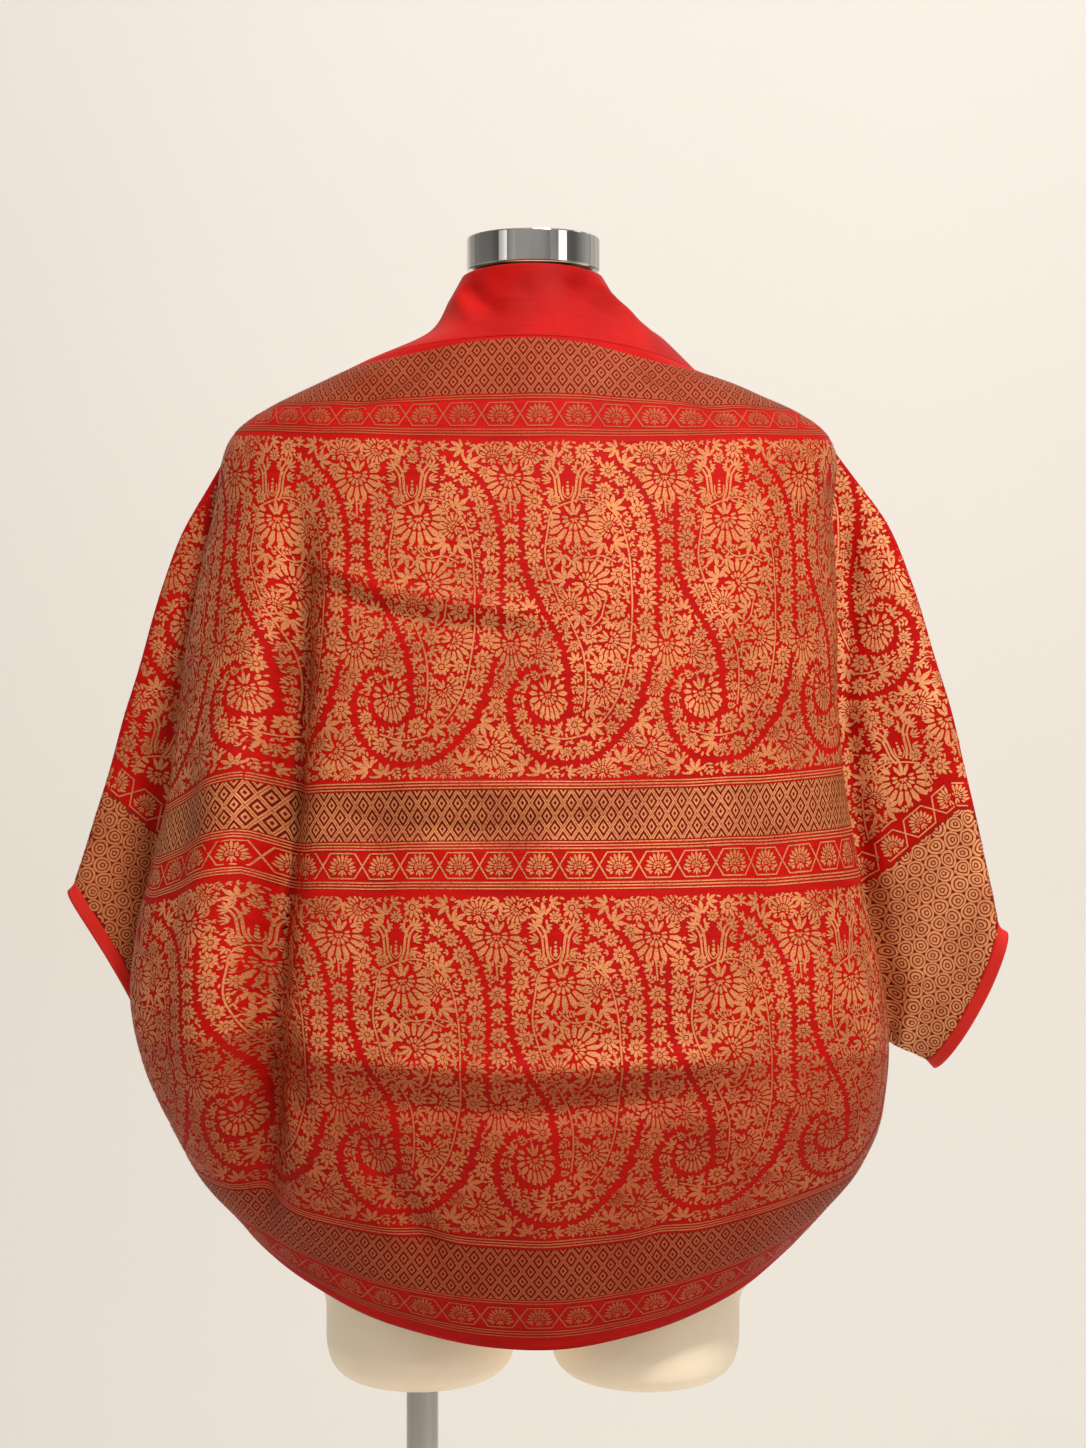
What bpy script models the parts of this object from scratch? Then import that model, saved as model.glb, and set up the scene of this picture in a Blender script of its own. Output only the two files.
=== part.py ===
"""Brocade cocoon shrug, seen with its back towards -Y, on a limbless dress form with a steel pole and a round base."""

import math
from collections import namedtuple

import bmesh
import bpy
import numpy as np

MM = 0.001

# Sizes of the stand and of the dress form, in millimetres
BASE_RADIUS = 210.0
BASE_THICKNESS = 8.0
BASE_EDGE = 2.0
POLE_RADIUS = 13.5
POLE_X = -94.0
SEAT_GAP = 0.3
FORM_SEGMENTS = 36
NECK_TOP_Z = 1572.0
CAP_TOP_Z = 1600.0
CAP_RADIUS = 56.5
CAP_EDGE = 1.5
THIGH_X = 94.5
THIGH_Y = -6.0
THIGH_BOTTOM_Z = 640.0

# Sizes of the cloth, in millimetres
CLOTH_WALL = 1.6
COLLAR_WALL = 1.2
SEAM_GAP = 0.3
SLEEVE_GAP = 2.0
CUFF_WIDTH = 11.0
CUFF_GAP = 0.8

# Columns of cloth from a front edge to the side, and from the side to the middle of the back
FRONT_COLUMNS = 11
BACK_COLUMNS = 14
SLEEVE_ROWS = 10

# The armhole in columns of the front part, and how far its ends narrow
ARMHOLE_COLUMNS = 4
ARMHOLE_REACH = 0.40
ARMHOLE_END_SHARE = 0.30
ARMHOLE_TOP_START = 0.04
ARMHOLE_LOW_START = 0.22
ARMHOLE_EASE = 0.4

# How square the front part of a section is, and how evenly its back columns lie
FRONT_HANDLE = 0.55
BACK_SPACING = 0.9

# How a sleeve's flattened ring turns over at its outer and under lines
RING_TURN = 0.07
RING_ROUNDNESS = 0.8
RING_SLANT = 0.25
CUFF_FLARE = 0.4

# How far past its lower end a fold runs, and how softly its ends fade, as shares of its length
FOLD_RUN_ON = 1.15
FOLD_FADE = 0.3

FormRing = namedtuple("FormRing", "name z half_width back_depth front_depth")
FORM_RINGS = (
    FormRing("crotch", 688, 150, 84, 74),
    FormRing("crotch side", 704, 174, 104, 92),
    FormRing("hip", 760, 178, 114, 99),
    FormRing("seat", 830, 176, 119, 102),
    FormRing("belly", 905, 169, 112, 102),
    FormRing("high hip", 985, 157, 99, 97),
    FormRing("below waist", 1055, 145, 89, 91),
    FormRing("waist", 1120, 139, 84, 88),
    FormRing("ribs", 1185, 149, 90, 101),
    FormRing("below bust", 1245, 163, 99, 120),
    FormRing("bust", 1300, 176, 106, 126),
    FormRing("armpit", 1365, 190, 104, 104),
    FormRing("chest", 1405, 199, 99, 92),
    FormRing("shoulder end", 1432, 199, 93, 82),
    FormRing("shoulder", 1452, 188, 86, 74),
    FormRing("shoulder slope", 1468, 165, 79, 68),
    FormRing("trapezius", 1483, 134, 72, 63),
    FormRing("neck root", 1500, 98, 65, 59),
    FormRing("lower neck", 1518, 70, 59, 56),
    FormRing("neck", 1540, 56, 55, 54),
    FormRing("neck top", 1572, 53.5, 53.5, 53.5),
)

ThighRing = namedtuple("ThighRing", "name height half_width half_depth")
THIGH_RINGS = (
    ThighRing("flat end", 0, 60, 78),
    ThighRing("edge", 3, 68, 87),
    ThighRing("round", 11, 76, 95.5),
    ThighRing("thigh", 27, 80.5, 99.5),
    ThighRing("inside the hip", 110, 80, 96),
)

# One row for each section of the cloth from the collar's top edge to the hem
Section = namedtuple(
    "Section",
    "name rows back_z left_z right_z front_z back_y left_x right_x side_y front_y front_x fullness",
)
COLLAR_SECTIONS = (
    Section("collar top", 2, 1569, 1566, 1566, 1505, -64, 60, 59, 0, 66, 38, 0.56),
    Section("collar stand", 2, 1547, 1545, 1545, 1482, -69, 72, 73, 0, 76, 50, 0.56),
    Section("collar spread", 2, 1522, 1516, 1515, 1455, -85, 92, 109, 0, 86, 64, 0.56),
    Section("collar seam", 0, 1503, 1490, 1479, 1428, -106, 148, 145, 0, 96, 76, 0.56),
)
BODY_SECTIONS = (
    COLLAR_SECTIONS[-1]._replace(rows=2),
    Section("yoke", 2, 1463, 1465, 1463, 1388, -124, 200, 197, -5, 116, 86, 0.57),
    Section("shoulder", 3, 1421, 1436, 1432, 1342, -140, 247, 246, -12, 134, 96, 0.58),
    Section("shoulder blade", 6, 1350, 1355, 1357, 1270, -163, 270, 251, -22, 150, 106, 0.60),
    Section("middle band", 6, 1135, 1125, 1145, 1080, -190, 303, 257, -48, 142, 126, 0.62),
    Section("turn", 5, 925, 945, 925, 930, -216, 329, 293, -66, 132, 140, 0.60),
    Section("under side", 4, 790, 830, 832, 856, -190, 287, 278, -42, 122, 150, 0.57),
    Section("hem", 0, 690, 772, 766, 806, -147, 244, 229, -14, 114, 156, 0.56),
)
ARMHOLE_TOP = "shoulder"
ARMHOLE_BOTTOM = "turn"

# Distances along a fold are measured across from the middle of the back and down from the collar seam
Fold = namedtuple("Fold", "name top_across top_down low_across low_down depth half_width")
FOLDS = (
    Fold("left valley", -206, 190, -238, 760, -24, 24),
    Fold("left lobe", -262, 300, -290, 640, 5, 34),
    Fold("right hollow", 188, 330, 214, 640, -7, 30),
)

# One row for each ring of a sleeve beyond the armhole: its outer line, its under line and how far its middle bows inwards
SleeveRing = namedtuple(
    "SleeveRing", "name outer_x outer_y outer_z under_x under_y under_z thickness bow"
)
LEFT_SLEEVE = (
    SleeveRing("upper", 303, 9, 1338, 322, 52, 924, 56, 0),
    SleeveRing("middle", 341, 6, 1213, 318, 66, 910, 54, 3),
    SleeveRing("lower", 369, 4, 1120, 315, 76, 896, 48, 8),
    SleeveRing("cuff", 389, 4, 1056, 314, 82, 882, 40, 14),
)
RIGHT_SLEEVE = (
    SleeveRing("upper", 308, 4, 1342, 302, 46, 918, 68, 0),
    SleeveRing("middle", 347, 2, 1224, 315, 50, 909, 62, 0),
    SleeveRing("lower", 376, 0, 1108, 328, 58, 904, 50, -2),
    SleeveRing("cuff", 395, 4, 1020, 342, 62, 898, 40, -4),
)


def clear_scene():
    for obj in list(bpy.data.objects):
        bpy.data.objects.remove(obj, do_unlink=True)


def plain_material(name, color, roughness, metallic=0.0):
    material = bpy.data.materials.new(name)
    material.use_nodes = True
    shader = material.node_tree.nodes["Principled BSDF"]
    shader.inputs["Base Color"].default_value = (*color, 1.0)
    shader.inputs["Roughness"].default_value = roughness
    shader.inputs["Metallic"].default_value = metallic
    return material


def add_object(name, points_mm, faces, material, collection):
    """A named mesh object from points in millimetres, with its normals turned outwards."""
    mesh = bpy.data.meshes.new(name)
    mesh.from_pydata([tuple(point * MM) for point in np.asarray(points_mm, float)], [], faces)
    shape = bmesh.new()
    shape.from_mesh(mesh)
    bmesh.ops.recalc_face_normals(shape, faces=shape.faces)
    shape.to_mesh(mesh)
    shape.free()
    for polygon in mesh.polygons:
        polygon.use_smooth = True
    mesh.materials.append(material)
    obj = bpy.data.objects.new(name, mesh)
    collection.objects.link(obj)
    return obj


def add_thickness(obj, thickness_mm):
    modifier = obj.modifiers.new("Wall", "SOLIDIFY")
    modifier.thickness = thickness_mm * MM
    modifier.offset = 0.0
    modifier.use_quality_normals = True


def spline_rows(knots, values, samples):
    """Smooth rows through the given ones, with slopes weighted by the distance between them."""
    knots = np.asarray(knots, float)
    values = np.asarray(values, float)
    steps = np.diff(knots)
    rises = np.diff(values, axis=0) / steps.reshape(-1, *[1] * (values.ndim - 1))
    slopes = np.empty_like(values)
    slopes[0] = rises[0]
    slopes[-1] = rises[-1]
    for i in range(1, len(knots) - 1):
        before, after = steps[i - 1], steps[i]
        slopes[i] = (rises[i - 1] * after + rises[i] * before) / (before + after)
    found = []
    for sample in samples:
        i = int(np.clip(np.searchsorted(knots, sample) - 1, 0, len(steps) - 1))
        t = (sample - knots[i]) / steps[i]
        found.append(
            values[i] * (2 * t**3 - 3 * t**2 + 1)
            + slopes[i] * steps[i] * (t**3 - 2 * t**2 + t)
            + values[i + 1] * (3 * t**2 - 2 * t**3)
            + slopes[i + 1] * steps[i] * (t**3 - t**2)
        )
    return np.array(found)


def bezier(first, first_handle, last_handle, last, t):
    t = t[:, None]
    return (
        first * (1 - t) ** 3
        + 3 * first_handle * t * (1 - t) ** 2
        + 3 * last_handle * t**2 * (1 - t)
        + last * t**3
    )


def half_section(section, side, front_share, back_share):
    """Points of one side of a section: the front part from its edge to the side, then on to the middle of the back."""
    reach = section.left_x if side < 0 else section.right_x
    side_z = section.left_z if side < 0 else section.right_z
    edge = np.array([side * section.front_x, section.front_y, section.front_z])
    flank = np.array([side * reach, section.side_y, side_z])
    spine = np.array([0.0, section.back_y, section.back_z])
    across = np.array([side * (reach - section.front_x), 0, 0])
    forward = np.array([0, section.front_y - section.side_y, 0])
    front = bezier(flank, flank + FRONT_HANDLE * forward, edge + FRONT_HANDLE * across, edge, front_share)
    backward = np.array([0, section.back_y - section.side_y, 0])
    outward = np.array([side * reach, 0, 0])
    back = bezier(
        flank,
        flank + section.fullness * backward,
        spine + section.fullness * outward,
        spine,
        back_share,
    )
    return front, back


def armhole_shares(t):
    """Where the armhole's back and front edges lie on the front part, t running from -1 at its top to 1 at its bottom."""
    inside = max(0.0, 1.0 - t * t)
    width = ARMHOLE_END_SHARE + (1 - ARMHOLE_END_SHARE) * math.sqrt(inside)
    if abs(t) > 1:
        width += (1 - ARMHOLE_END_SHARE) * min(1.0, (abs(t) - 1) / ARMHOLE_EASE)
    start = ARMHOLE_TOP_START + (ARMHOLE_LOW_START - ARMHOLE_TOP_START) * np.clip((t + 1) / 2, 0, 1)
    return float(start), float(start + ARMHOLE_REACH * width)


def front_shares(t):
    """Positions of the front part's columns, from 0 at the side to 1 at the front edge."""
    start, end = armhole_shares(t)
    within = np.linspace(start, end, ARMHOLE_COLUMNS + 1)
    beyond = np.linspace(end, 1.0, FRONT_COLUMNS - ARMHOLE_COLUMNS)
    return np.concatenate([[0.0], within, beyond[1:]])


def cloth_rows(sections, armhole=None):
    """Grid points of the cloth, its columns running from the left front edge round the back to the right one."""
    knots = [0.0]
    for upper, lower in zip(sections, sections[1:]):
        knots.append(
            knots[-1] + math.hypot(lower.back_z - upper.back_z, lower.back_y - upper.back_y)
        )
    samples = []
    for i, section in enumerate(sections[:-1]):
        samples += list(np.linspace(knots[i], knots[i + 1], section.rows + 1)[:-1])
    samples.append(knots[-1])
    numbers = np.array([section[2:] for section in sections], float)
    rows = []
    back_share = np.sin(np.linspace(0, 1, BACK_COLUMNS + 1) * math.pi / 2) ** BACK_SPACING
    for sample, fields in zip(samples, spline_rows(knots, numbers, samples)):
        section = Section(str(sample), 0, *fields)
        t = -3.0
        if armhole:
            top, bottom = knots[armhole[0]], knots[armhole[1]]
            t = (sample - (top + bottom) / 2) / ((bottom - top) / 2)
        shares = front_shares(t)
        left_front, left_back = half_section(section, -1, shares, back_share)
        right_front, right_back = half_section(section, 1, shares, back_share)
        rows.append(
            np.concatenate([left_front[::-1], left_back[1:], right_back[::-1][1:], right_front[1:]])
        )
    return np.array(rows), np.array(samples), knots


def grid_normals(rows):
    down = np.gradient(rows, axis=0)
    along = np.gradient(rows, axis=1)
    normals = np.cross(along, down)
    lengths = np.linalg.norm(normals, axis=2, keepdims=True)
    normals = normals / np.maximum(lengths, 1e-9)
    return -normals


def across_distances(rows):
    """Signed distance of each grid point along its row from the middle of the back."""
    steps = np.linalg.norm(np.diff(rows, axis=1), axis=2)
    distance = np.concatenate([np.zeros((len(rows), 1)), np.cumsum(steps, axis=1)], axis=1)
    middle = rows.shape[1] // 2
    return distance - distance[:, middle : middle + 1]


def fold_offset(across, down):
    offset = np.zeros_like(across)
    for fold in FOLDS:
        t = (down - fold.top_down) / (fold.low_down - fold.top_down)
        line = fold.top_across + (fold.low_across - fold.top_across) * t
        window = np.clip(np.minimum(t, FOLD_RUN_ON - t) / FOLD_FADE, 0, 1)
        window = window * window * (3 - 2 * window)
        offset += fold.depth * window * np.exp(-(((across - line) / fold.half_width) ** 2))
    return offset


def grid_faces(row_count, column_count, left_out=()):
    faces = []
    for r in range(row_count - 1):
        for c in range(column_count - 1):
            if (r, c) in left_out:
                continue
            a = r * column_count + c
            faces.append((a, a + 1, a + 1 + column_count, a + column_count))
    return faces


def used_only(points, faces):
    used = sorted({index for face in faces for index in face})
    place = {old: new for new, old in enumerate(used)}
    return points[used], [tuple(place[index] for index in face) for face in faces]


def hole_loop(grid, top, bottom, columns):
    """The armhole's edge points in order: top edge backwards, down its back edge, along its bottom and up its front."""
    back, front = columns
    step = 1 if front > back else -1
    across = list(range(back, front + step, step))
    loop = [grid[r, back] for r in range(top, bottom + 1)]
    loop += [grid[bottom, c] for c in across[1:]]
    loop += [grid[r, front] for r in range(bottom - 1, top - 1, -1)]
    loop += [grid[top, c] for c in across[::-1][1:-1]]
    return np.array(loop)


def sleeve_ring_points(ring, side, counts):
    """A flattened ring whose points match the armhole's edge: down its back, along the under line, up its front, over the top."""
    outer = np.array([side * ring.outer_x, ring.outer_y, ring.outer_z], float)
    under = np.array([side * ring.under_x, ring.under_y, ring.under_z], float)
    centre = (outer + under) / 2
    half = (outer - under) / 2
    thin = np.array([-side * RING_SLANT, 1.0, 0.0])
    thin = thin - half * np.dot(thin, half) / np.dot(half, half)
    thin = thin / np.linalg.norm(thin) * ring.thickness / 2
    down, bottom, up, top = counts
    angles = np.concatenate(
        [
            np.linspace(RING_TURN, 1 - RING_TURN, down + 1),
            np.linspace(1 - RING_TURN, 1 + RING_TURN, bottom + 1)[1:],
            np.linspace(1 + RING_TURN, 2 - RING_TURN, up + 1)[1:],
            np.linspace(2 - RING_TURN, 2 + RING_TURN, top + 1)[1:-1],
        ]
    )
    points = []
    for angle in angles * math.pi:
        thin_share = -math.copysign(abs(math.sin(angle)) ** RING_ROUNDNESS, math.sin(angle))
        bow = np.array([-side * ring.bow * math.sin(angle) ** 2, 0.0, 0.0])
        points.append(centre + half * math.cos(angle) + thin * thin_share + bow)
    return np.array(points)


def square_to_edge(away, loop):
    """Unit directions that follow the given ones but stand square to a closed edge."""
    edge = np.roll(loop, -1, axis=0) - np.roll(loop, 1, axis=0)
    edge /= np.linalg.norm(edge, axis=1, keepdims=True)
    away = away - edge * np.sum(away * edge, axis=1, keepdims=True)
    return away / np.linalg.norm(away, axis=1, keepdims=True)


def sleeve_rows(loop, outwards, rings, side, counts):
    """Rows of a sleeve from just outside the armhole to the cuff."""
    guides = [loop] + [sleeve_ring_points(ring, side, counts) for ring in rings]
    knots = [0.0]
    for first, second in zip(guides, guides[1:]):
        knots.append(knots[-1] + float(np.linalg.norm(second - first, axis=1).mean()))
    samples = np.linspace(0, knots[-1], SLEEVE_ROWS + 1)
    rows = spline_rows(knots, guides, samples)
    away = square_to_edge(rows[1] - rows[0], loop) + outwards
    rows[0] = rows[0] + away / np.linalg.norm(away, axis=1, keepdims=True) * SLEEVE_GAP
    return rows


def ring_faces(row_count, column_count):
    faces = []
    for r in range(row_count - 1):
        for c in range(column_count):
            a = r * column_count + c
            b = r * column_count + (c + 1) % column_count
            faces.append((a, b, b + column_count, a + column_count))
    return faces


def cuff_rows(sleeve):
    """A narrow band that goes on from the sleeve's last row."""
    steps = sleeve[-1] - sleeve[-2]
    steps /= np.linalg.norm(steps, axis=1, keepdims=True)
    even = steps.mean(axis=0)
    away = square_to_edge(steps * CUFF_FLARE + even * (1 - CUFF_FLARE), sleeve[-1])
    start = sleeve[-1] + away * CUFF_GAP
    return np.array([start, start + away * CUFF_WIDTH / 2, start + away * CUFF_WIDTH])


def lofted_solid(rings_points):
    """Points and faces of a closed solid through rings, with a flat face at each end."""
    count = len(rings_points[0])
    points = np.concatenate(rings_points)
    faces = ring_faces(len(rings_points), count)
    faces.append(tuple(range(count))[::-1])
    last = (len(rings_points) - 1) * count
    faces.append(tuple(range(last, last + count)))
    return points, faces


def form_ring_points(ring):
    points = []
    for i in range(FORM_SEGMENTS):
        angle = 2 * math.pi * i / FORM_SEGMENTS
        depth = ring.back_depth if math.sin(angle) < 0 else ring.front_depth
        points.append((ring.half_width * math.cos(angle), depth * math.sin(angle), ring.z))
    return np.array(points)


def thigh_ring_points(ring, side):
    points = []
    for i in range(FORM_SEGMENTS):
        angle = 2 * math.pi * i / FORM_SEGMENTS
        points.append(
            (
                side * THIGH_X + ring.half_width * math.cos(angle),
                THIGH_Y + ring.half_depth * math.sin(angle),
                THIGH_BOTTOM_Z + ring.height,
            )
        )
    return np.array(points)


def build_form(material, collection, cutters):
    points, faces = lofted_solid([form_ring_points(ring) for ring in FORM_RINGS])
    form = add_object("form_body", points, faces, material, collection)
    for side, name in ((-1, "left_thigh_helper"), (1, "right_thigh_helper")):
        points, faces = lofted_solid([thigh_ring_points(ring, side) for ring in THIGH_RINGS])
        thigh = add_object(name, points, faces, material, cutters)
        thigh.hide_render = True
        thigh.display_type = "WIRE"
        union = form.modifiers.new("Join " + name, "BOOLEAN")
        union.operation = "UNION"
        union.solver = "EXACT"
        union.object = thigh
    return form


def add_cylinder(name, radius, low_z, high_z, x, edge, segments, material, collection):
    shape = bmesh.new()
    bmesh.ops.create_cone(
        shape,
        cap_ends=True,
        segments=segments,
        radius1=radius * MM,
        radius2=radius * MM,
        depth=(high_z - low_z) * MM,
    )
    mesh = bpy.data.meshes.new(name)
    shape.to_mesh(mesh)
    shape.free()
    mesh.materials.append(material)
    obj = bpy.data.objects.new(name, mesh)
    collection.objects.link(obj)
    obj.location = (x * MM, 0.0, (low_z + high_z) / 2 * MM)
    if edge:
        bevel = obj.modifiers.new("Edge", "BEVEL")
        bevel.width = edge * MM
        bevel.segments = 2
        bevel.limit_method = "ANGLE"
        bevel.angle_limit = math.radians(40)
    for polygon in mesh.polygons:
        polygon.use_smooth = True
    mesh.set_sharp_from_angle(angle=math.radians(40))
    return obj


def build_cloth(brocade, silk, cuff_silk, collection):
    names = [section.name for section in BODY_SECTIONS]
    armhole = (names.index(ARMHOLE_TOP), names.index(ARMHOLE_BOTTOM))
    grid, down, knots = cloth_rows(BODY_SECTIONS, armhole)
    across = across_distances(grid)
    down_grid = np.repeat(down[:, None], grid.shape[1], axis=1)
    grid = grid + grid_normals(grid) * fold_offset(across, down_grid)[:, :, None]
    outward = grid_normals(grid)
    first_step = grid[1] - grid[0]
    first_step /= np.linalg.norm(first_step, axis=1, keepdims=True)
    grid[0] = grid[0] + first_step * SEAM_GAP

    top = int(np.argmin(abs(down - knots[armhole[0]])))
    bottom = int(np.argmin(abs(down - knots[armhole[1]])))
    columns = grid.shape[1]
    front_count = FRONT_COLUMNS + 1
    left = (front_count - 2, front_count - 2 - ARMHOLE_COLUMNS)
    right = (columns - 1 - left[0], columns - 1 - left[1])
    left_out = set()
    for r in range(top, bottom):
        for c in range(ARMHOLE_COLUMNS):
            left_out.add((r, left[1] + c))
            left_out.add((r, right[0] + c))
    faces = grid_faces(len(grid), columns, left_out)
    points, faces = used_only(grid.reshape(-1, 3), faces)
    body = add_object("body_panel", points, faces, brocade, collection)
    add_thickness(body, CLOTH_WALL)

    collar_grid, _, _ = cloth_rows(COLLAR_SECTIONS)
    last_step = collar_grid[-2] - collar_grid[-1]
    last_step /= np.linalg.norm(last_step, axis=1, keepdims=True)
    collar_grid[-1] = collar_grid[-1] + last_step * SEAM_GAP
    faces = grid_faces(len(collar_grid), collar_grid.shape[1])
    collar = add_object("collar", collar_grid.reshape(-1, 3), faces, silk, collection)
    add_thickness(collar, COLLAR_WALL)

    counts = (bottom - top, ARMHOLE_COLUMNS, bottom - top, ARMHOLE_COLUMNS)
    for name, side, rings, hole in (
        ("left", -1, LEFT_SLEEVE, left),
        ("right", 1, RIGHT_SLEEVE, right),
    ):
        loop = hole_loop(grid, top, bottom, hole)
        outwards = hole_loop(outward, top, bottom, hole)
        rows = sleeve_rows(loop, outwards, rings, side, counts)
        faces = ring_faces(len(rows), rows.shape[1])
        sleeve = add_object("sleeve_" + name, rows.reshape(-1, 3), faces, brocade, collection)
        add_thickness(sleeve, CLOTH_WALL)
        band = cuff_rows(rows)
        faces = ring_faces(len(band), band.shape[1])
        cuff = add_object("cuff_" + name, band.reshape(-1, 3), faces, cuff_silk, collection)
        add_thickness(cuff, CLOTH_WALL)


def main():
    clear_scene()
    collection = bpy.data.collections.new("shrug_on_dress_form")
    cutters = bpy.data.collections.new("helpers")
    cutters.hide_render = True
    bpy.context.scene.collection.children.link(collection)
    bpy.context.scene.collection.children.link(cutters)

    brocade = plain_material("brocade", (0.52, 0.09, 0.04), 0.55)
    silk = plain_material("collar_silk", (0.52, 0.008, 0.012), 0.45)
    cuff_silk = plain_material("cuff_silk", (0.48, 0.010, 0.014), 0.5)
    shell = plain_material("form_shell", (0.86, 0.78, 0.64), 0.5)
    steel = plain_material("cap_steel", (0.55, 0.55, 0.54), 0.25, 1.0)
    pole_steel = plain_material("pole_steel", (0.42, 0.41, 0.39), 0.3, 1.0)
    base_steel = plain_material("base_steel", (0.42, 0.41, 0.39), 0.35, 1.0)

    build_form(shell, collection, cutters)
    add_cylinder(
        "neck_cap", CAP_RADIUS, NECK_TOP_Z + SEAT_GAP, CAP_TOP_Z, 0, CAP_EDGE, 48, steel, collection
    )
    add_cylinder(
        "pole", POLE_RADIUS, BASE_THICKNESS + SEAT_GAP, THIGH_BOTTOM_Z - SEAT_GAP, POLE_X, 0, 32,
        pole_steel, collection,
    )
    add_cylinder(
        "base_plate", BASE_RADIUS, 0, BASE_THICKNESS, 0, BASE_EDGE, 64, base_steel, collection
    )
    build_cloth(brocade, silk, cuff_silk, collection)


main()
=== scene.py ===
"""Brocade cocoon shrug on a limbless dress form, seen from behind in a plain pale studio."""

import math
import random
from collections import namedtuple

import bpy
import numpy as np
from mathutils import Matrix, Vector, kdtree


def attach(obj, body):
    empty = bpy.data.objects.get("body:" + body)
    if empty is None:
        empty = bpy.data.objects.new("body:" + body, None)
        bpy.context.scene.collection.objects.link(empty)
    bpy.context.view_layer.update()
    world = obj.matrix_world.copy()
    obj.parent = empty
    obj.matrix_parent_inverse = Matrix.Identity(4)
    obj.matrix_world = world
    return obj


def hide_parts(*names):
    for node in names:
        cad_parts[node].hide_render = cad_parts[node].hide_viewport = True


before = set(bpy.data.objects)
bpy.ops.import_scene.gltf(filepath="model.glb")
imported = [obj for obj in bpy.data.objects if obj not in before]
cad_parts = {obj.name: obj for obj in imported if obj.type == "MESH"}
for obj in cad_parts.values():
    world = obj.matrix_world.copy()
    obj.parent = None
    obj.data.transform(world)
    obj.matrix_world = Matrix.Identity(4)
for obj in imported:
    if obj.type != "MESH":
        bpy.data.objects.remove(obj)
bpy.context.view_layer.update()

MM = 0.001
WELD_DISTANCE = 0.00005

# Cloth sections and sleeve rings, the same as the solids' own, in millimetres
CLOTH_WALL = 1.0
COLLAR_WALL = 0.8
SEAM_GAP = 0.3
SLEEVE_GAP = 0.5
CUFF_WIDTH = 11.5
CUFF_LAP = 0.8
FRONT_COLUMNS = 11
BACK_COLUMNS = 14
ARMHOLE_COLUMNS = 4
ARMHOLE_REACH = 0.40
ARMHOLE_END_SHARE = 0.30
ARMHOLE_TOP_START = 0.04
ARMHOLE_LOW_START = 0.22
ARMHOLE_EASE = 0.4
FRONT_HANDLE = 0.55
BACK_SPACING = 0.9
RING_TURN = 0.07
RING_ROUNDNESS = 0.8
RING_SLANT = 0.25
CUFF_FLARE = 0.4
CUFF_WALL = 1.4
CUFF_ROWS = 6
NO_ARMHOLE = -3.0

# How many fine columns and rows stand for one of the solids' own
FINE_COLUMNS = 4
FINE_ROWS = 7
SLEEVE_ROWS = 46

Section = namedtuple(
    "Section",
    "name rows back_z left_z right_z front_z back_y left_x right_x side_y front_y front_x fullness",
)
COLLAR_SECTIONS = (
    Section("collar top", 2, 1569, 1566, 1566, 1505, -64, 60, 59, 0, 66, 38, 0.56),
    Section("collar stand", 2, 1547, 1545, 1545, 1482, -69, 72, 73, 0, 76, 50, 0.56),
    Section("collar spread", 2, 1522, 1516, 1515, 1455, -85, 92, 109, 0, 86, 64, 0.56),
    Section("collar seam", 0, 1503, 1490, 1479, 1428, -106, 148, 145, 0, 96, 76, 0.56),
)
BODY_SECTIONS = (
    COLLAR_SECTIONS[-1]._replace(rows=2),
    Section("yoke", 2, 1463, 1465, 1463, 1388, -124, 200, 197, -5, 116, 86, 0.57),
    Section("shoulder", 3, 1421, 1436, 1432, 1342, -140, 247, 246, -12, 134, 96, 0.58),
    Section("shoulder blade", 6, 1350, 1355, 1357, 1270, -163, 270, 251, -22, 150, 106, 0.60),
    Section("middle band", 6, 1135, 1125, 1145, 1080, -190, 303, 257, -48, 142, 126, 0.62),
    Section("turn", 5, 925, 945, 925, 930, -216, 329, 293, -66, 132, 140, 0.60),
    Section("under side", 4, 790, 830, 832, 856, -190, 287, 278, -42, 122, 150, 0.57),
    Section("hem", 0, 690, 772, 766, 806, -147, 244, 229, -14, 114, 156, 0.56),
)
ARMHOLE_TOP = 2
ARMHOLE_BOTTOM = 5

SleeveRing = namedtuple(
    "SleeveRing", "outer_x outer_y outer_z under_x under_y under_z thickness bow"
)
LEFT_SLEEVE = (
    SleeveRing(303, 9, 1338, 322, 52, 924, 56, 0),
    SleeveRing(341, 6, 1213, 318, 66, 910, 54, 3),
    SleeveRing(369, 4, 1120, 315, 76, 896, 48, 8),
    SleeveRing(389, 4, 1056, 314, 82, 882, 40, 14),
)
RIGHT_SLEEVE = (
    SleeveRing(308, 4, 1342, 302, 46, 918, 68, 0),
    SleeveRing(347, 2, 1224, 315, 50, 909, 62, 0),
    SleeveRing(376, 0, 1108, 328, 58, 904, 50, -2),
    SleeveRing(395, 4, 1020, 342, 62, 898, 40, -4),
)

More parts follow.
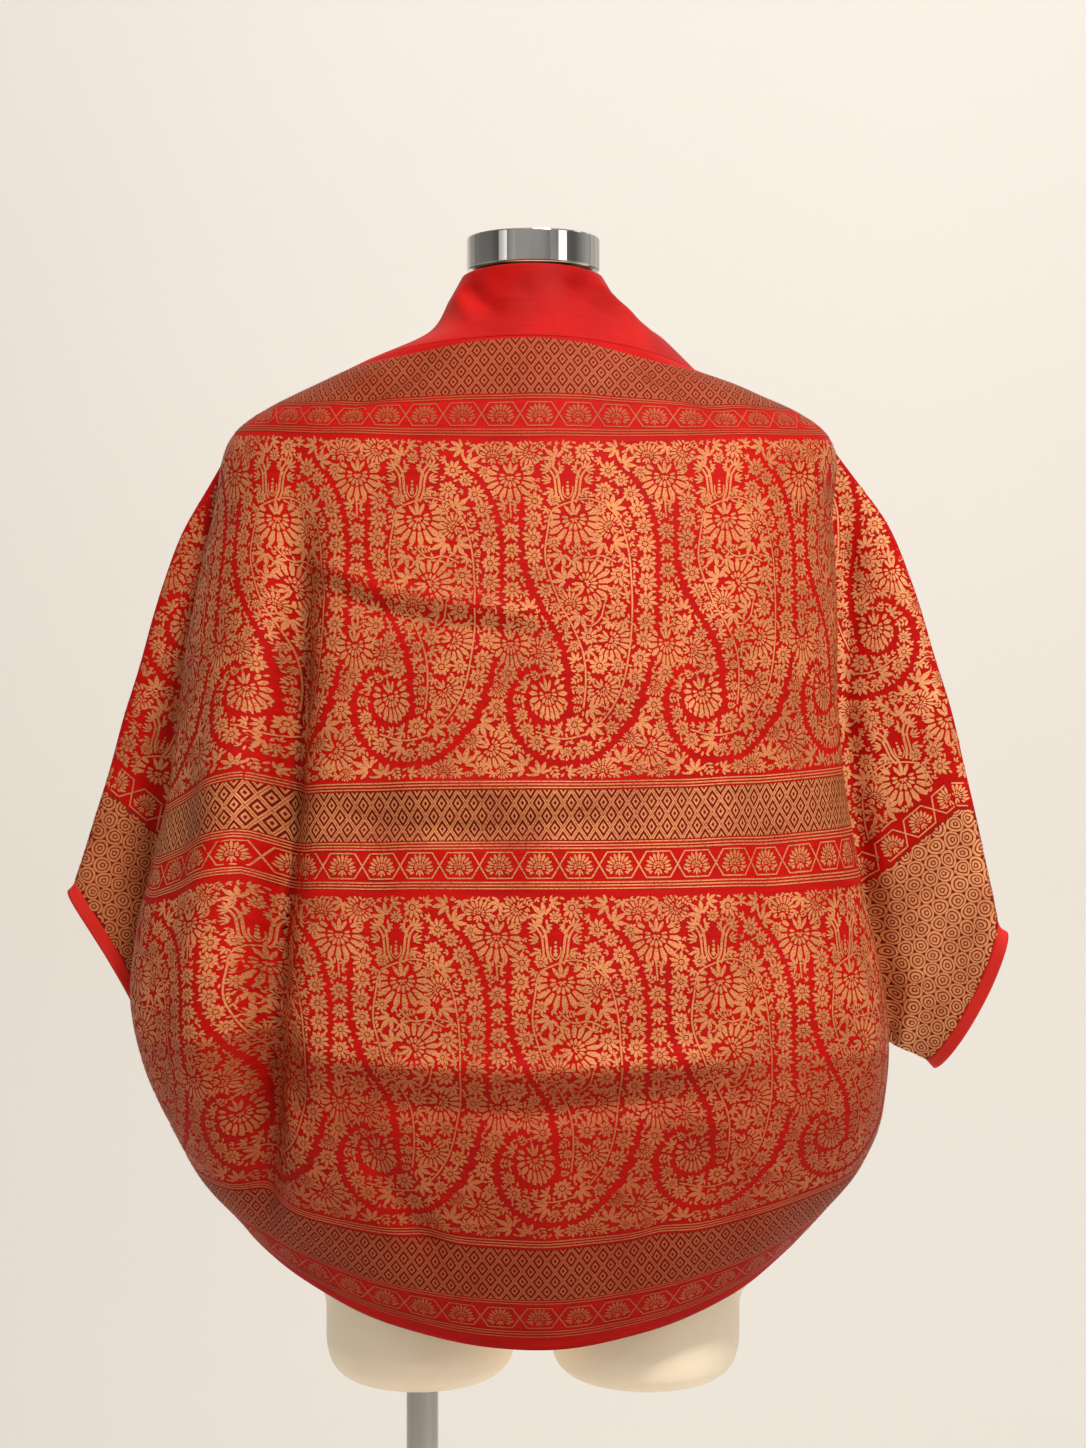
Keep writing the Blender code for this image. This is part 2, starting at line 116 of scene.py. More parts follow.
# Creases as lines on the flat cloth: points across from the middle of the back and down from the collar seam.
# The depth is how far the cloth is moved out, so a trough has a negative one
Crease = namedtuple("Crease", "name line depth half_width")
BODY_CREASES = (
    Crease("left valley", ((-190, 105), (-203, 330), (-216, 560), (-234, 815)), -44, 19),
    Crease("left lobe", ((-248, 220), (-278, 700)), 12, 24),
    Crease("right hollow", ((186, 300), (214, 680)), -7, 30),
    Crease("left tuck", ((-192, 560), (-186, 660)), -10, 10),
    Crease("drag from the left side", ((-205, 184), (-120, 222), (20, 244)), 5.0, 8),
    Crease("hollow under the drag", ((-200, 206), (-90, 246), (40, 262)), -5.0, 9),
    Crease("slack in the middle band", ((-185, 396), (-40, 412), (80, 398)), -6.0, 8),
    Crease("swell over the middle band", ((-180, 372), (60, 380)), 4.6, 10),
    Crease("turn", ((-205, 590), (0, 598), (215, 582)), 7.0, 11),
    Crease("under the turn", ((-190, 622), (0, 628), (200, 614)), -7.0, 15),
    Crease("right back fall", ((118, 130), (132, 470)), -4.6, 17),
    Crease("right back swell", ((150, 160), (166, 520)), 3.0, 20),
    Crease("left back fall", ((-112, 260), (-128, 560)), -4.2, 18),
    Crease("middle fall", ((24, 250), (10, 540)), 1.8, 26),
    Crease("left shoulder pull", ((-70, 12), (-190, 96)), -3.4, 9),
    Crease("right shoulder pull", ((74, 14), (186, 90)), -3.2, 10),
    Crease("lower left drape", ((-150, 640), (-60, 770)), -7.0, 15),
    Crease("lower right drape", ((150, 640), (84, 775)), -6.0, 17),
    Crease("lower middle drape", ((0, 660), (14, 800)), 3.0, 24),
    Crease("left front fall", ((-470, 120), (-500, 700)), -5.0, 22),
    Crease("left front swell", ((-420, 560), (-430, 800)), 4.0, 24),
    Crease("right front fall", ((462, 130), (486, 700)), -5.0, 22),
    Crease("right front swell", ((410, 570), (424, 800)), 4.0, 24),
)
SLEEVE_CREASES = (
    Crease("soft tuck", ((64, 150), (84, 280)), -5.0, 11),
    Crease("ridge beside it", ((38, 120), (56, 300)), 3.4, 12),
    Crease("low drape", ((150, 250), (120, 330)), -4.0, 14),
    Crease("front tuck", ((-70, 140), (-90, 290)), -4.0, 13),
    Crease("front ridge", ((-120, 200), (-130, 330)), 3.0, 14),
)
# The shallow fall of the right sleeve where it passes behind the body's edge
FALL_DEPTH = 22.0
FALL_HALF_WIDTH = 13.0
FALL_BEYOND_EDGE = 7.0
FALL_TOP_Z = 1385.0
FALL_LOW_Z = 880.0
FALL_FADE = 70.0
COLLAR_CREASES = (
    Crease("left diagonal", ((-66, 10), (-20, 56)), -3.4, 9),
    Crease("left ridge", ((-86, 8), (-44, 62)), 2.8, 9),
    Crease("right diagonal", ((26, 8), (84, 52)), -3.4, 9),
    Crease("right ridge", ((52, 4), (110, 46)), 2.8, 9),
    Crease("right fold", ((96, 14), (140, 56)), -3.6, 7),
    Crease("left fold", ((-104, 16), (-140, 60)), -3.4, 7),
    Crease("middle dip", ((-14, 8), (10, 60)), -0.9, 10),
)
CREASE_FADE = 0.3
SLACK = 0.9
SLACK_FADE = 40.0
SLEEVE_FADE_ROWS = 8
FALL_FADE_ROWS = 6
SEAM_FADE_COLUMNS = 6

# The bands of the body, in millimetres down from the collar seam
FIELDS = ((97, 370, 43.8), (461, 731, 34.0))
DIAMOND_BANDS = ((2, 54), (379, 418), (741, 789))
VINE_BANDS = ((61, 85), (426, 449), (796, 818))
STRIPE_LINES = (
    56, 58.4, 87, 89.6, 92.2, 372.4, 374.8, 377.2, 419.6, 422, 424.4,
    450.6, 453, 455.4, 733.4, 735.8, 738.2, 790.4, 792.8, 820, 822.4, 825,
)
STRIPE_WIDTH = 1.05
EDGE_MARGIN = 7.0
FIGURE_LIFT = 0.42

# The repeat of the field in its own millimetres: its width, its height and how wide its plain channels are
UNIT_WIDTH = 133.0
UNIT_HEIGHT = 298.0
UNIT_SCALE = 0.93
CHANNEL = 1.9
FIELD_SEED = 7
BLOSSOM_SPACING = 17.4
BLOSSOM_FROM_CHANNEL = 8.6
SMALLEST_ROOM = 1.25

# The diamonds and the lattice: width and height of one, and each ring's outer and inner share of it
DIAMOND_SIZE = (12.6, 19.6)
DIAMOND_CORNERS = ((1, 0), (0.5, 0.5), (0, 1), (-0.5, 0.5), (-1, 0), (-0.5, -0.5), (0, -1), (0.5, -0.5))
DIAMOND_RINGS = ((0.97, 0.76), (0.46, 0.20))
LATTICE_SIZE = (14.0, 12.4)
LATTICE_RINGS = ((0.97, 0.71), (0.57, 0.31), (0.17, 0.0))
LATTICE_SEED = 11

# The sleeves' border: its direction on the flat sleeve, its start above the cuff, and its vine's width
BORDER_RUN = (0.933, 0.359)
BORDER_ABOVE_CUFF = {"left": 80, "right": 103}
SLEEVE_VINE = 22.0
VINE_PERIOD = 62.0
ROUNDED_EDGE = 45.0

# Chart: most steps towards a flat point, and how near it has to come, in millimetres
CHART_STEPS = 7
CHART_REACH = 0.4


def spline_rows(knots, values, samples):
    """Smooth rows through the given ones, with slopes weighted by the distance between them."""
    knots = np.asarray(knots, float)
    values = np.asarray(values, float)
    steps = np.diff(knots)
    rises = np.diff(values, axis=0) / steps.reshape(-1, *[1] * (values.ndim - 1))
    slopes = np.empty_like(values)
    slopes[0] = rises[0]
    slopes[-1] = rises[-1]
    for i in range(1, len(knots) - 1):
        before, after = steps[i - 1], steps[i]
        slopes[i] = (rises[i - 1] * after + rises[i] * before) / (before + after)
    found = []
    for sample in samples:
        i = int(np.clip(np.searchsorted(knots, sample) - 1, 0, len(steps) - 1))
        t = (sample - knots[i]) / steps[i]
        found.append(
            values[i] * (2 * t**3 - 3 * t**2 + 1)
            + slopes[i] * steps[i] * (t**3 - 2 * t**2 + t)
            + values[i + 1] * (3 * t**2 - 2 * t**3)
            + slopes[i + 1] * steps[i] * (t**3 - t**2)
        )
    return np.array(found)


def normalized(vectors):
    return vectors / np.linalg.norm(vectors, axis=1, keepdims=True)


def running_sum(steps):
    """Along each row, how far every column is from the first."""
    return np.concatenate([np.zeros((len(steps), 1)), np.cumsum(steps, axis=1)], axis=1)


def bezier(first, first_handle, last_handle, last, t):
    t = t[:, None]
    return (
        first * (1 - t) ** 3
        + 3 * first_handle * t * (1 - t) ** 2
        + 3 * last_handle * t**2 * (1 - t)
        + last * t**3
    )


def half_section(section, side, front_share, back_share):
    reach = section.left_x if side < 0 else section.right_x
    side_z = section.left_z if side < 0 else section.right_z
    edge = np.array([side * section.front_x, section.front_y, section.front_z])
    flank = np.array([side * reach, section.side_y, side_z])
    spine = np.array([0.0, section.back_y, section.back_z])
    across = np.array([side * (reach - section.front_x), 0, 0])
    forward = np.array([0, section.front_y - section.side_y, 0])
    front = bezier(flank, flank + FRONT_HANDLE * forward, edge + FRONT_HANDLE * across, edge, front_share)
    backward = np.array([0, section.back_y - section.side_y, 0])
    outward = np.array([side * reach, 0, 0])
    back = bezier(
        flank, flank + section.fullness * backward, spine + section.fullness * outward, spine, back_share
    )
    return front, back


def armhole_shares(t):
    inside = max(0.0, 1.0 - t * t)
    width = ARMHOLE_END_SHARE + (1 - ARMHOLE_END_SHARE) * math.sqrt(inside)
    if abs(t) > 1:
        width += (1 - ARMHOLE_END_SHARE) * min(1.0, (abs(t) - 1) / ARMHOLE_EASE)
    start = ARMHOLE_TOP_START + (ARMHOLE_LOW_START - ARMHOLE_TOP_START) * np.clip((t + 1) / 2, 0, 1)
    return float(start), float(start + ARMHOLE_REACH * width)


def front_shares(t):
    start, end = armhole_shares(t)
    side = np.linspace(0.0, start, FINE_COLUMNS + 1)[:-1]
    within = np.linspace(start, end, ARMHOLE_COLUMNS * FINE_COLUMNS + 1)
    beyond = np.linspace(end, 1.0, (FRONT_COLUMNS - ARMHOLE_COLUMNS - 1) * FINE_COLUMNS + 1)
    return np.concatenate([side, within, beyond[1:]])


def cloth_rows(sections, armhole=None):
    """Grid points of the cloth, with columns from the left front edge round the back to the right one."""
    knots = [0.0]
    for upper, lower in zip(sections, sections[1:]):
        knots.append(knots[-1] + math.hypot(lower.back_z - upper.back_z, lower.back_y - upper.back_y))
    samples = []
    for i, section in enumerate(sections[:-1]):
        samples += list(np.linspace(knots[i], knots[i + 1], section.rows * FINE_ROWS + 1)[:-1])
    samples.append(knots[-1])
    numbers = np.array([section[2:] for section in sections], float)
    back_share = np.sin(np.linspace(0, 1, BACK_COLUMNS * FINE_COLUMNS + 1) * math.pi / 2) ** BACK_SPACING
    rows = []
    for sample, fields in zip(samples, spline_rows(knots, numbers, samples)):
        section = Section(str(sample), 0, *fields)
        t = NO_ARMHOLE
        if armhole:
            top, bottom = knots[armhole[0]], knots[armhole[1]]
            t = (sample - (top + bottom) / 2) / ((bottom - top) / 2)
        shares = front_shares(t)
        left_front, left_back = half_section(section, -1, shares, back_share)
        right_front, right_back = half_section(section, 1, shares, back_share)
        rows.append(np.concatenate([left_front[::-1], left_back[1:], right_back[::-1][1:], right_front[1:]]))
    return np.array(rows), np.array(samples), knots


def grid_normals(rows):
    down = np.gradient(rows, axis=0)
    along = np.gradient(rows, axis=1)
    normals = np.cross(down, along)
    return normals / np.maximum(np.linalg.norm(normals, axis=2, keepdims=True), 1e-9)


def across_distances(rows):
    steps = np.linalg.norm(np.diff(rows, axis=1), axis=2)
    distance = running_sum(steps)
    middle = rows.shape[1] // 2
    return distance - distance[:, middle : middle + 1]


def crease_offset(creases, across, down):
    """How far the creases move each point of the cloth out, as soft troughs and ridges along their lines."""
    offset = np.zeros_like(across)
    for crease in creases:
        line = np.array(crease.line, float)
        lengths = np.linalg.norm(np.diff(line, axis=0), axis=1)
        starts = np.concatenate([[0.0], np.cumsum(lengths)])
        nearest = np.full(across.shape, 1e9)
        along = np.zeros_like(across)
        for i, length in enumerate(lengths):
            step = (line[i + 1] - line[i]) / length
            from_start = (across - line[i][0]) * step[0] + (down - line[i][1]) * step[1]
            held = np.clip(from_start, 0, length)
            gap = np.hypot(across - line[i][0] - held * step[0], down - line[i][1] - held * step[1])
            closer = gap < nearest
            nearest = np.where(closer, gap, nearest)
            along = np.where(closer, starts[i] + held, along)
        share = along / starts[-1]
        window = np.clip(np.minimum(share, 1 - share) / CREASE_FADE, 0, 1)
        window = window * window * (3 - 2 * window)
        offset += crease.depth * window * np.exp(-((nearest / crease.half_width) ** 2))
    return offset


def slack(across, down):
    """The small unevenness of hanging silk."""
    return SLACK * (
        np.sin(across / 31 + down / 67) * np.sin(down / 43 - across / 90)
        + 0.6 * np.sin(across / 17 - down / 29 + 1.3) * np.sin(down / 24 + across / 53)
    )


def hole_loop(grid, top, bottom, columns):
    """The armhole's edge points: down its back edge, along its bottom, up its front and back over the top."""
    back, front = columns
    step = 1 if front > back else -1
    across = list(range(back, front + step, step))
    loop = [grid[r, back] for r in range(top, bottom + 1)]
    loop += [grid[bottom, c] for c in across[1:]]
    loop += [grid[r, front] for r in range(bottom - 1, top - 1, -1)]
    loop += [grid[top, c] for c in across[::-1][1:-1]]
    return np.array(loop)


def sleeve_ring_points(ring, side, counts):
    outer = np.array([side * ring.outer_x, ring.outer_y, ring.outer_z], float)
    under = np.array([side * ring.under_x, ring.under_y, ring.under_z], float)
    centre = (outer + under) / 2
    half = (outer - under) / 2
    thin = np.array([-side * RING_SLANT, 1.0, 0.0])
    thin = thin - half * np.dot(thin, half) / np.dot(half, half)
    thin = thin / np.linalg.norm(thin) * ring.thickness / 2
    down, bottom, up, top = counts
    angles = np.concatenate(
        [
            np.linspace(RING_TURN, 1 - RING_TURN, down + 1),
            np.linspace(1 - RING_TURN, 1 + RING_TURN, bottom + 1)[1:],
            np.linspace(1 + RING_TURN, 2 - RING_TURN, up + 1)[1:],
            np.linspace(2 - RING_TURN, 2 + RING_TURN, top + 1)[1:-1],
        ]
    )
    points = []
    for angle in angles * math.pi:
        thin_share = -math.copysign(abs(math.sin(angle)) ** RING_ROUNDNESS, math.sin(angle))
        bow = np.array([-side * ring.bow * math.sin(angle) ** 2, 0.0, 0.0])
        points.append(centre + half * math.cos(angle) + thin * thin_share + bow)
    return np.array(points)


def square_to_edge(away, loop):
    edge = normalized(np.roll(loop, -1, axis=0) - np.roll(loop, 1, axis=0))
    return normalized(away - edge * np.sum(away * edge, axis=1, keepdims=True))


def sleeve_rows(loop, outwards, rings, side, counts):
    guides = [loop] + [sleeve_ring_points(ring, side, counts) for ring in rings]
    knots = [0.0]
    for first, second in zip(guides, guides[1:]):
        knots.append(knots[-1] + float(np.linalg.norm(second - first, axis=1).mean()))
    rows = spline_rows(knots, guides, np.linspace(0, knots[-1], SLEEVE_ROWS + 1))
    away = square_to_edge(rows[1] - rows[0], loop) + outwards
    rows[0] = rows[0] + normalized(away) * SLEEVE_GAP
    return rows


def opened(rings, counts):
    """The sleeve's rings cut open along the under line: up the front, over the top and down the back."""
    down, bottom, up, top = counts
    under = down + bottom // 2
    turned = np.roll(rings, -under, axis=1)
    return np.concatenate([turned, turned[:, :1]], axis=1), bottom - bottom // 2 + up + top // 2


class Chart:
    """A cloth grid with its points' flat positions, which finds where on the cloth a flat point lies."""

    def __init__(self, points, across, down, missing=None, wall=CLOTH_WALL):
        self.points = points
        self.across = across
        self.down = down
        self.missing = missing
        self.normals = grid_normals(points)
        self.wall = wall
        self.tree = kdtree.KDTree(across.size)
        for i, (u, v) in enumerate(zip(across.ravel(), down.ravel())):
            self.tree.insert((u, v, 0.0), i)
        self.tree.balance()

    def blend(self, values, r, c):
        r0 = np.clip(r.astype(int), 0, values.shape[0] - 2)
        c0 = np.clip(c.astype(int), 0, values.shape[1] - 2)
        fr, fc = r - r0, c - c0
        if values.ndim == 3:
            fr, fc = fr[:, None], fc[:, None]
        a, b = values[r0, c0], values[r0, c0 + 1]
        d, e = values[r0 + 1, c0], values[r0 + 1, c0 + 1]
        found = (a * (1 - fc) + b * fc) * (1 - fr) + (d * (1 - fc) + e * fc) * fr
        by_row = (d - a) * (1 - fc) + (e - b) * fc
        by_column = (b - a) * (1 - fr) + (e - d) * fr
        return found, by_row, by_column

    def locate(self, flat):
        """Row and column of each flat point, and whether it lies on the cloth."""
        nearest = np.array([self.tree.find((u, v, 0.0))[1] for u, v in flat])
        columns = self.across.shape[1]
        r = (nearest // columns).astype(float)
        c = (nearest % columns).astype(float)
        for _ in range(CHART_STEPS):
            u, u_row, u_col = self.blend(self.across, r, c)
            v, v_row, v_col = self.blend(self.down, r, c)
            du, dv = flat[:, 0] - u, flat[:, 1] - v
            spread = u_row * v_col - u_col * v_row
            spread = np.where(abs(spread) < 1e-9, 1e-9, spread)
            r = np.clip(r + np.clip((du * v_col - u_col * dv) / spread, -3, 3), 0, self.across.shape[0] - 1)
            c = np.clip(c + np.clip((u_row * dv - du * v_row) / spread, -3, 3), 0, columns - 1)
        u = self.blend(self.across, r, c)[0]
        v = self.blend(self.down, r, c)[0]
        on_cloth = np.hypot(flat[:, 0] - u, flat[:, 1] - v) < CHART_REACH
        if self.missing is not None:
            on_cloth &= ~self.missing[
                np.clip(r.astype(int), 0, self.missing.shape[0] - 1),
                np.clip(c.astype(int), 0, self.missing.shape[1] - 1),
            ]
        return r, c, on_cloth

    def place(self, flat, lift):
        r, c, on_cloth = self.locate(flat)
        points = self.blend(self.points, r, c)[0]
        normals = self.blend(self.normals, r, c)[0]
        normals /= np.maximum(np.linalg.norm(normals, axis=1, keepdims=True), 1e-9)
        return points + normals * (self.wall / 2 + lift), normals, on_cloth


def finish_mesh(name, points_mm, faces, materials):
    mesh = bpy.data.meshes.new(name)
    mesh.from_pydata((np.asarray(points_mm, float) * MM).tolist(), [], faces)
    mesh.polygons.foreach_set("use_smooth", np.ones(len(mesh.polygons), bool))
    for material in materials:
        mesh.materials.append(material)
    obj = bpy.data.objects.new(name, mesh)
    bpy.context.scene.collection.objects.link(obj)
    return obj


def set_flat_map(mesh, flat):
    """Keeps the flat cloth position of every corner, in metres, for the weave."""
    layer = mesh.uv_layers.new(name="Cloth")
    index = np.empty(len(mesh.loops), np.int32)
    mesh.loops.foreach_get("vertex_index", index)
    layer.data.foreach_set("uv", (np.asarray(flat)[index] * MM).astype(np.float32).ravel())


def cloth_object(name, points, flat, faces, materials, wall):
    used = sorted({index for face in faces for index in face})
    place = {old: new for new, old in enumerate(used)}
    faces = [tuple(place[index] for index in face) for face in faces]
    obj = finish_mesh(name, points.reshape(-1, 3)[used], faces, materials)
    set_flat_map(obj.data, flat.reshape(-1, 2)[used])
    modifier = obj.modifiers.new("Wall", "SOLIDIFY")
    modifier.thickness = wall * MM
    modifier.offset = 0.0
    modifier.material_offset = 1 if len(materials) > 1 else 0
    modifier.material_offset_rim = 0
    return obj


def close_seam(cloth):
    """Joins the first and last columns of a tube before the wall is made."""
    weld = cloth.modifiers.new("Close the seam", "WELD")
    weld.merge_threshold = WELD_DISTANCE
    cloth.modifiers.move(1, 0)


def grid_faces(row_count, column_count, missing=None):
    faces = []
    for r in range(row_count - 1):
        for c in range(column_count - 1):
            if missing is None or not missing[r, c]:
                a = r * column_count + c
                faces.append((a, a + column_count, a + 1 + column_count, a + 1))
    return faces


# Figures of the pattern: every one is a list of flat faces, each an array of its corners


def turned(points, x, y, angle):
    c, s = math.cos(angle), math.sin(angle)
    return np.asarray(points, float) @ np.array([[c, s], [-s, c]]) + (x, y)


def petal(x, y, angle, inner, outer, half_width, tip=0.34):
    """A petal that points away from x, y along an angle, widest past its middle."""
    wide = inner + 0.60 * (outer - inner)
    shape = [
        (inner, -0.5 * half_width), (wide, -half_width), (outer, -tip * half_width),
        (outer, tip * half_width), (wide, half_width), (inner, 0.5 * half_width),
    ]
    return turned(shape, x, y, angle)


def disc(x, y, radius, sides=6):
    angles = 2 * math.pi * np.arange(sides) / sides
    return np.stack([x + radius * np.cos(angles), y + radius * np.sin(angles)], axis=1)


def fan(x, y, angle, spread, petals, inner, outer, side_share=0.75):
    """Petals side by side over an angle, the middle ones the longest."""
    faces = []
    for i in range(petals):
        share = (i + 0.5) / petals * 2 - 1
        reach = inner + (outer - inner) * (side_share + (1 - side_share) * math.cos(share * math.pi / 2))
        half_width = spread / petals * (inner + 0.6 * (reach - inner)) * 0.38
        faces.append(petal(x, y, angle + share * spread / 2, inner, reach, half_width))
    return faces


def blossom(x, y, radius, turn):
    """A small flower with uneven petals, the longest ones towards turn."""
    faces = []
    for i in range(10):
        angle = 2 * math.pi * (i + 0.5) / 10
        reach = radius * (0.95 + 0.17 * math.cos(angle) + (0.07, -0.06)[i % 2])
        faces.append(petal(x, y, turn + angle, radius * 0.31, reach, radius * 0.185, 0.2))
    for i in range(5):
        faces.append(petal(x, y, turn + 2 * math.pi * i / 5, radius * 0.03, radius * 0.24, radius * 0.09))
    return faces


def peony(x, y, radius, turn):
    """A full flower of three rows of ragged petals that opens towards turn."""
    bx, by = x - 0.26 * radius * math.cos(turn), y - 0.26 * radius * math.sin(turn)
    faces = fan(bx, by, turn, 4.6, 13, radius * 0.66, radius * 1.38, 0.50)
    faces += fan(bx, by, turn, 4.0, 9, radius * 0.28, radius * 0.62, 0.72)
    faces += fan(bx, by, turn, 3.2, 4, radius * 0.04, radius * 0.24)
    faces += fan(bx, by, turn + math.pi, 1.5, 3, radius * 0.16, radius * 0.80)
    return faces


def bud(x, y, radius, turn):
    """A longer flower that closes towards turn."""
    faces = []
    for face in peony(0, 0, radius, 0):
        narrowing = 1.0 - 0.26 * np.clip(face[:, :1] / radius, 0, 1.3)
        shares = np.concatenate([np.ones_like(narrowing), narrowing], axis=1)
        faces.append(turned(face * (1.22, 0.92) * shares, x, y, turn))
    return faces


def leaf(x, y, radius, turn, lobes=5):
    bx, by = x - 0.60 * radius * math.cos(turn), y - 0.60 * radius * math.sin(turn)
    return fan(bx, by, turn, 3.4 if lobes > 3 else 2.4, lobes, radius * 0.18, radius * 1.60, 0.48)


def sprig(x, y, radius, turn):
    """A stalk with lobes in pairs."""
    faces = []
    for k in range(3):
        reach = (-0.80 + 0.55 * k) * radius
        px, py = x + reach * math.cos(turn), y + reach * math.sin(turn)
        for side in (-1, 1):
            angle = turn + side * 0.95
            faces.append(petal(px, py, angle, radius * 0.08, radius * (0.92 - 0.12 * k), radius * 0.2))
    px, py = x + 0.45 * radius * math.cos(turn), y + 0.45 * radius * math.sin(turn)
    faces.append(petal(px, py, turn, 0.2, radius * 0.7, radius * 0.2))
    return faces


def smooth_line(points, step):
    points = np.asarray(points, float)
    lengths = np.linalg.norm(np.diff(points, axis=0), axis=1)
    knots = np.concatenate([[0.0], np.cumsum(lengths)])
    count = max(2, int(round(knots[-1] / step)) + 1)
    return spline_rows(knots, points, np.linspace(0, knots[-1], count))


def ribbon(points, width, step=5.0, smooth=True):
    line = smooth_line(points, step) if smooth else np.asarray(points, float)
    along = np.gradient(line, axis=0)
    along /= np.maximum(np.linalg.norm(along, axis=1, keepdims=True), 1e-9)
    side = np.stack([-along[:, 1], along[:, 0]], axis=1) * width / 2
    left, right = line + side, line - side
    return [np.array([left[i], left[i + 1], right[i + 1], right[i]]) for i in range(len(line) - 1)]


def crown(x, y):
    """Two wings of curled leaves round a plain drop, with a small stalk in it."""
    faces = []
    for side in (-1, 1):
        spine = np.array([(3.4, 16), (6.4, 9), (7.4, 0), (9.0, -9), (13.0, -15), (18.5, -15.5)])
        faces += ribbon(spine * (side, 1) + (x, y), 2.2, 3.4)
        faces += ribbon((spine[:-1] + (3.1, 1.8)) * (side, 1) + (x, y), 1.9, 3.4)
        for px, py, angle, spread, count, reach in (
            (14.0, -12.0, -0.75, 2.7, 6, 10.5),
            (12.5, -2.0, -0.25, 1.5, 4, 10.5),
            (10.0, 7.0, 0.2, 1.5, 3, 10.0),
        ):
            turn = angle if side > 0 else math.pi - angle
            faces += fan(x + side * px, y + py, turn, spread, count, 2.4, reach, 0.7)
        faces.append(petal(x + side * 5.0, y - 9.0, -math.pi / 2 + side * 0.25, 0.5, 9.5, 1.3))
    faces += ribbon(np.array([(-4.0, 3), (-4.2, 9), (0, 14.0), (4.2, 9), (4.0, 3)]) + (x, y), 1.2, 3.0)
    for k in range(4):
        faces.append(disc(x, y + 9.6 - 3.4 * k, 2.1 - 0.3 * k, 5))
    faces += blossom(x, y - 21.5, 6.0, -math.pi / 2)
    return faces


def line_gap(grid_x, grid_y, line):
    """Distance of each point from a line, the repeats beside it counted."""
    nearest = np.full(grid_x.shape, 1e9)
    for shift in (-UNIT_WIDTH, 0, UNIT_WIDTH):
        for (ax, ay), (bx, by) in zip(line, line[1:]):
            dx, dy = bx - ax, by - ay
            along = (grid_x - ax - shift) * dx + (grid_y - ay) * dy
            t = np.clip(along / max(dx * dx + dy * dy, 1e-9), 0, 1)
            nearest = np.minimum(nearest, np.hypot(grid_x - ax - shift - t * dx, grid_y - ay - t * dy))
    return nearest


LEFT_CHANNEL = (
    (-40, 24), (-53, 45), (-56, 80), (-56, 105), (-51, 125), (-42, 147), (-31, 166), (-22, 185),
    (-17, 205), (-17, 222),
)
OUTER_CHANNEL = (
    (8, 12), (30, 24), (46, 45), (56, 70), (60, 100), (60, 140), (59, 170), (55, 195), (48, 220),
    (38, 245), (24, 265), (2, 281), (-22, 285), (-45, 278), (-60, 262), (-66, 243), (-64, 222),
    (-55, 208), (-44, 203),
)
POCKET = (-33, 232, 17.5)
BLOSSOMS = (
    ("peony", -11, 77, 19.0, 1.45), ("peony", 2, 129, 16.5, -0.5), ("peony", 22, 181, 14.0, 0.4),
    ("bud", -33, 230, 14.5, 1.35), ("peony", 14, 224, 11.5, 0.9), ("peony", 67, 38, 17.5, 1.57),
    ("bud", 68, 186, 14.5, 1.5), ("peony", 54, 273, 14.0, 0.6), ("peony", 12, 290, 8.5, -1.5),
    ("leaf", 34, 20, 8.5, -0.6), ("leaf", -30, 14, 8.5, -2.4), ("peony", -40, 190, 9.5, 0.2),
    ("leaf", 24, 60, 9.0, -0.7), ("leaf", 26, 96, 9.0, 0.3), ("leaf", -24, 108, 8.5, 2.2),
    ("leaf", -28, 270, 8.5, 2.8), ("leaf", 6, 256, 8.5, 0.6), ("leaf", -8, 162, 8.5, 2.0),
)
CROWN = (-17, 40)
STEMS = (
    ((-17, 58), (-29, 64), (-34, 84), (-36, 108), (-31, 128), (-23, 150)),
    (
        (-17, 58), (-2, 54), (12, 58), (26, 72), (34, 98), (37, 130), (37, 170), (34, 196), (28, 222),
        (16, 244), (0, 259), (-22, 264), (-44, 258),
    ),
    ((-23, 150), (-12, 170), (-4, 192), (-2, 216), (-4, 238)),
    ((-14, 98), (-2, 108), (10, 106), (24, 112)),
    ((14, 148), (10, 162), (0, 168), (-8, 158)),
    ((67, 58), (68, 72)),
)
CROWN_ROOM = ((-18, -12, 9), (18, -12, 9), (-16, 1, 8), (16, 1, 8), (0, 8, 9), (0, -21, 6), (0, -4, 8))
MIDDLE_COLUMN = (
    (68, 83), (68.5, 100.5), (69, 118), (69, 135.5), (68.5, 153), (66, 208), (56, 236), (68, 255),
)


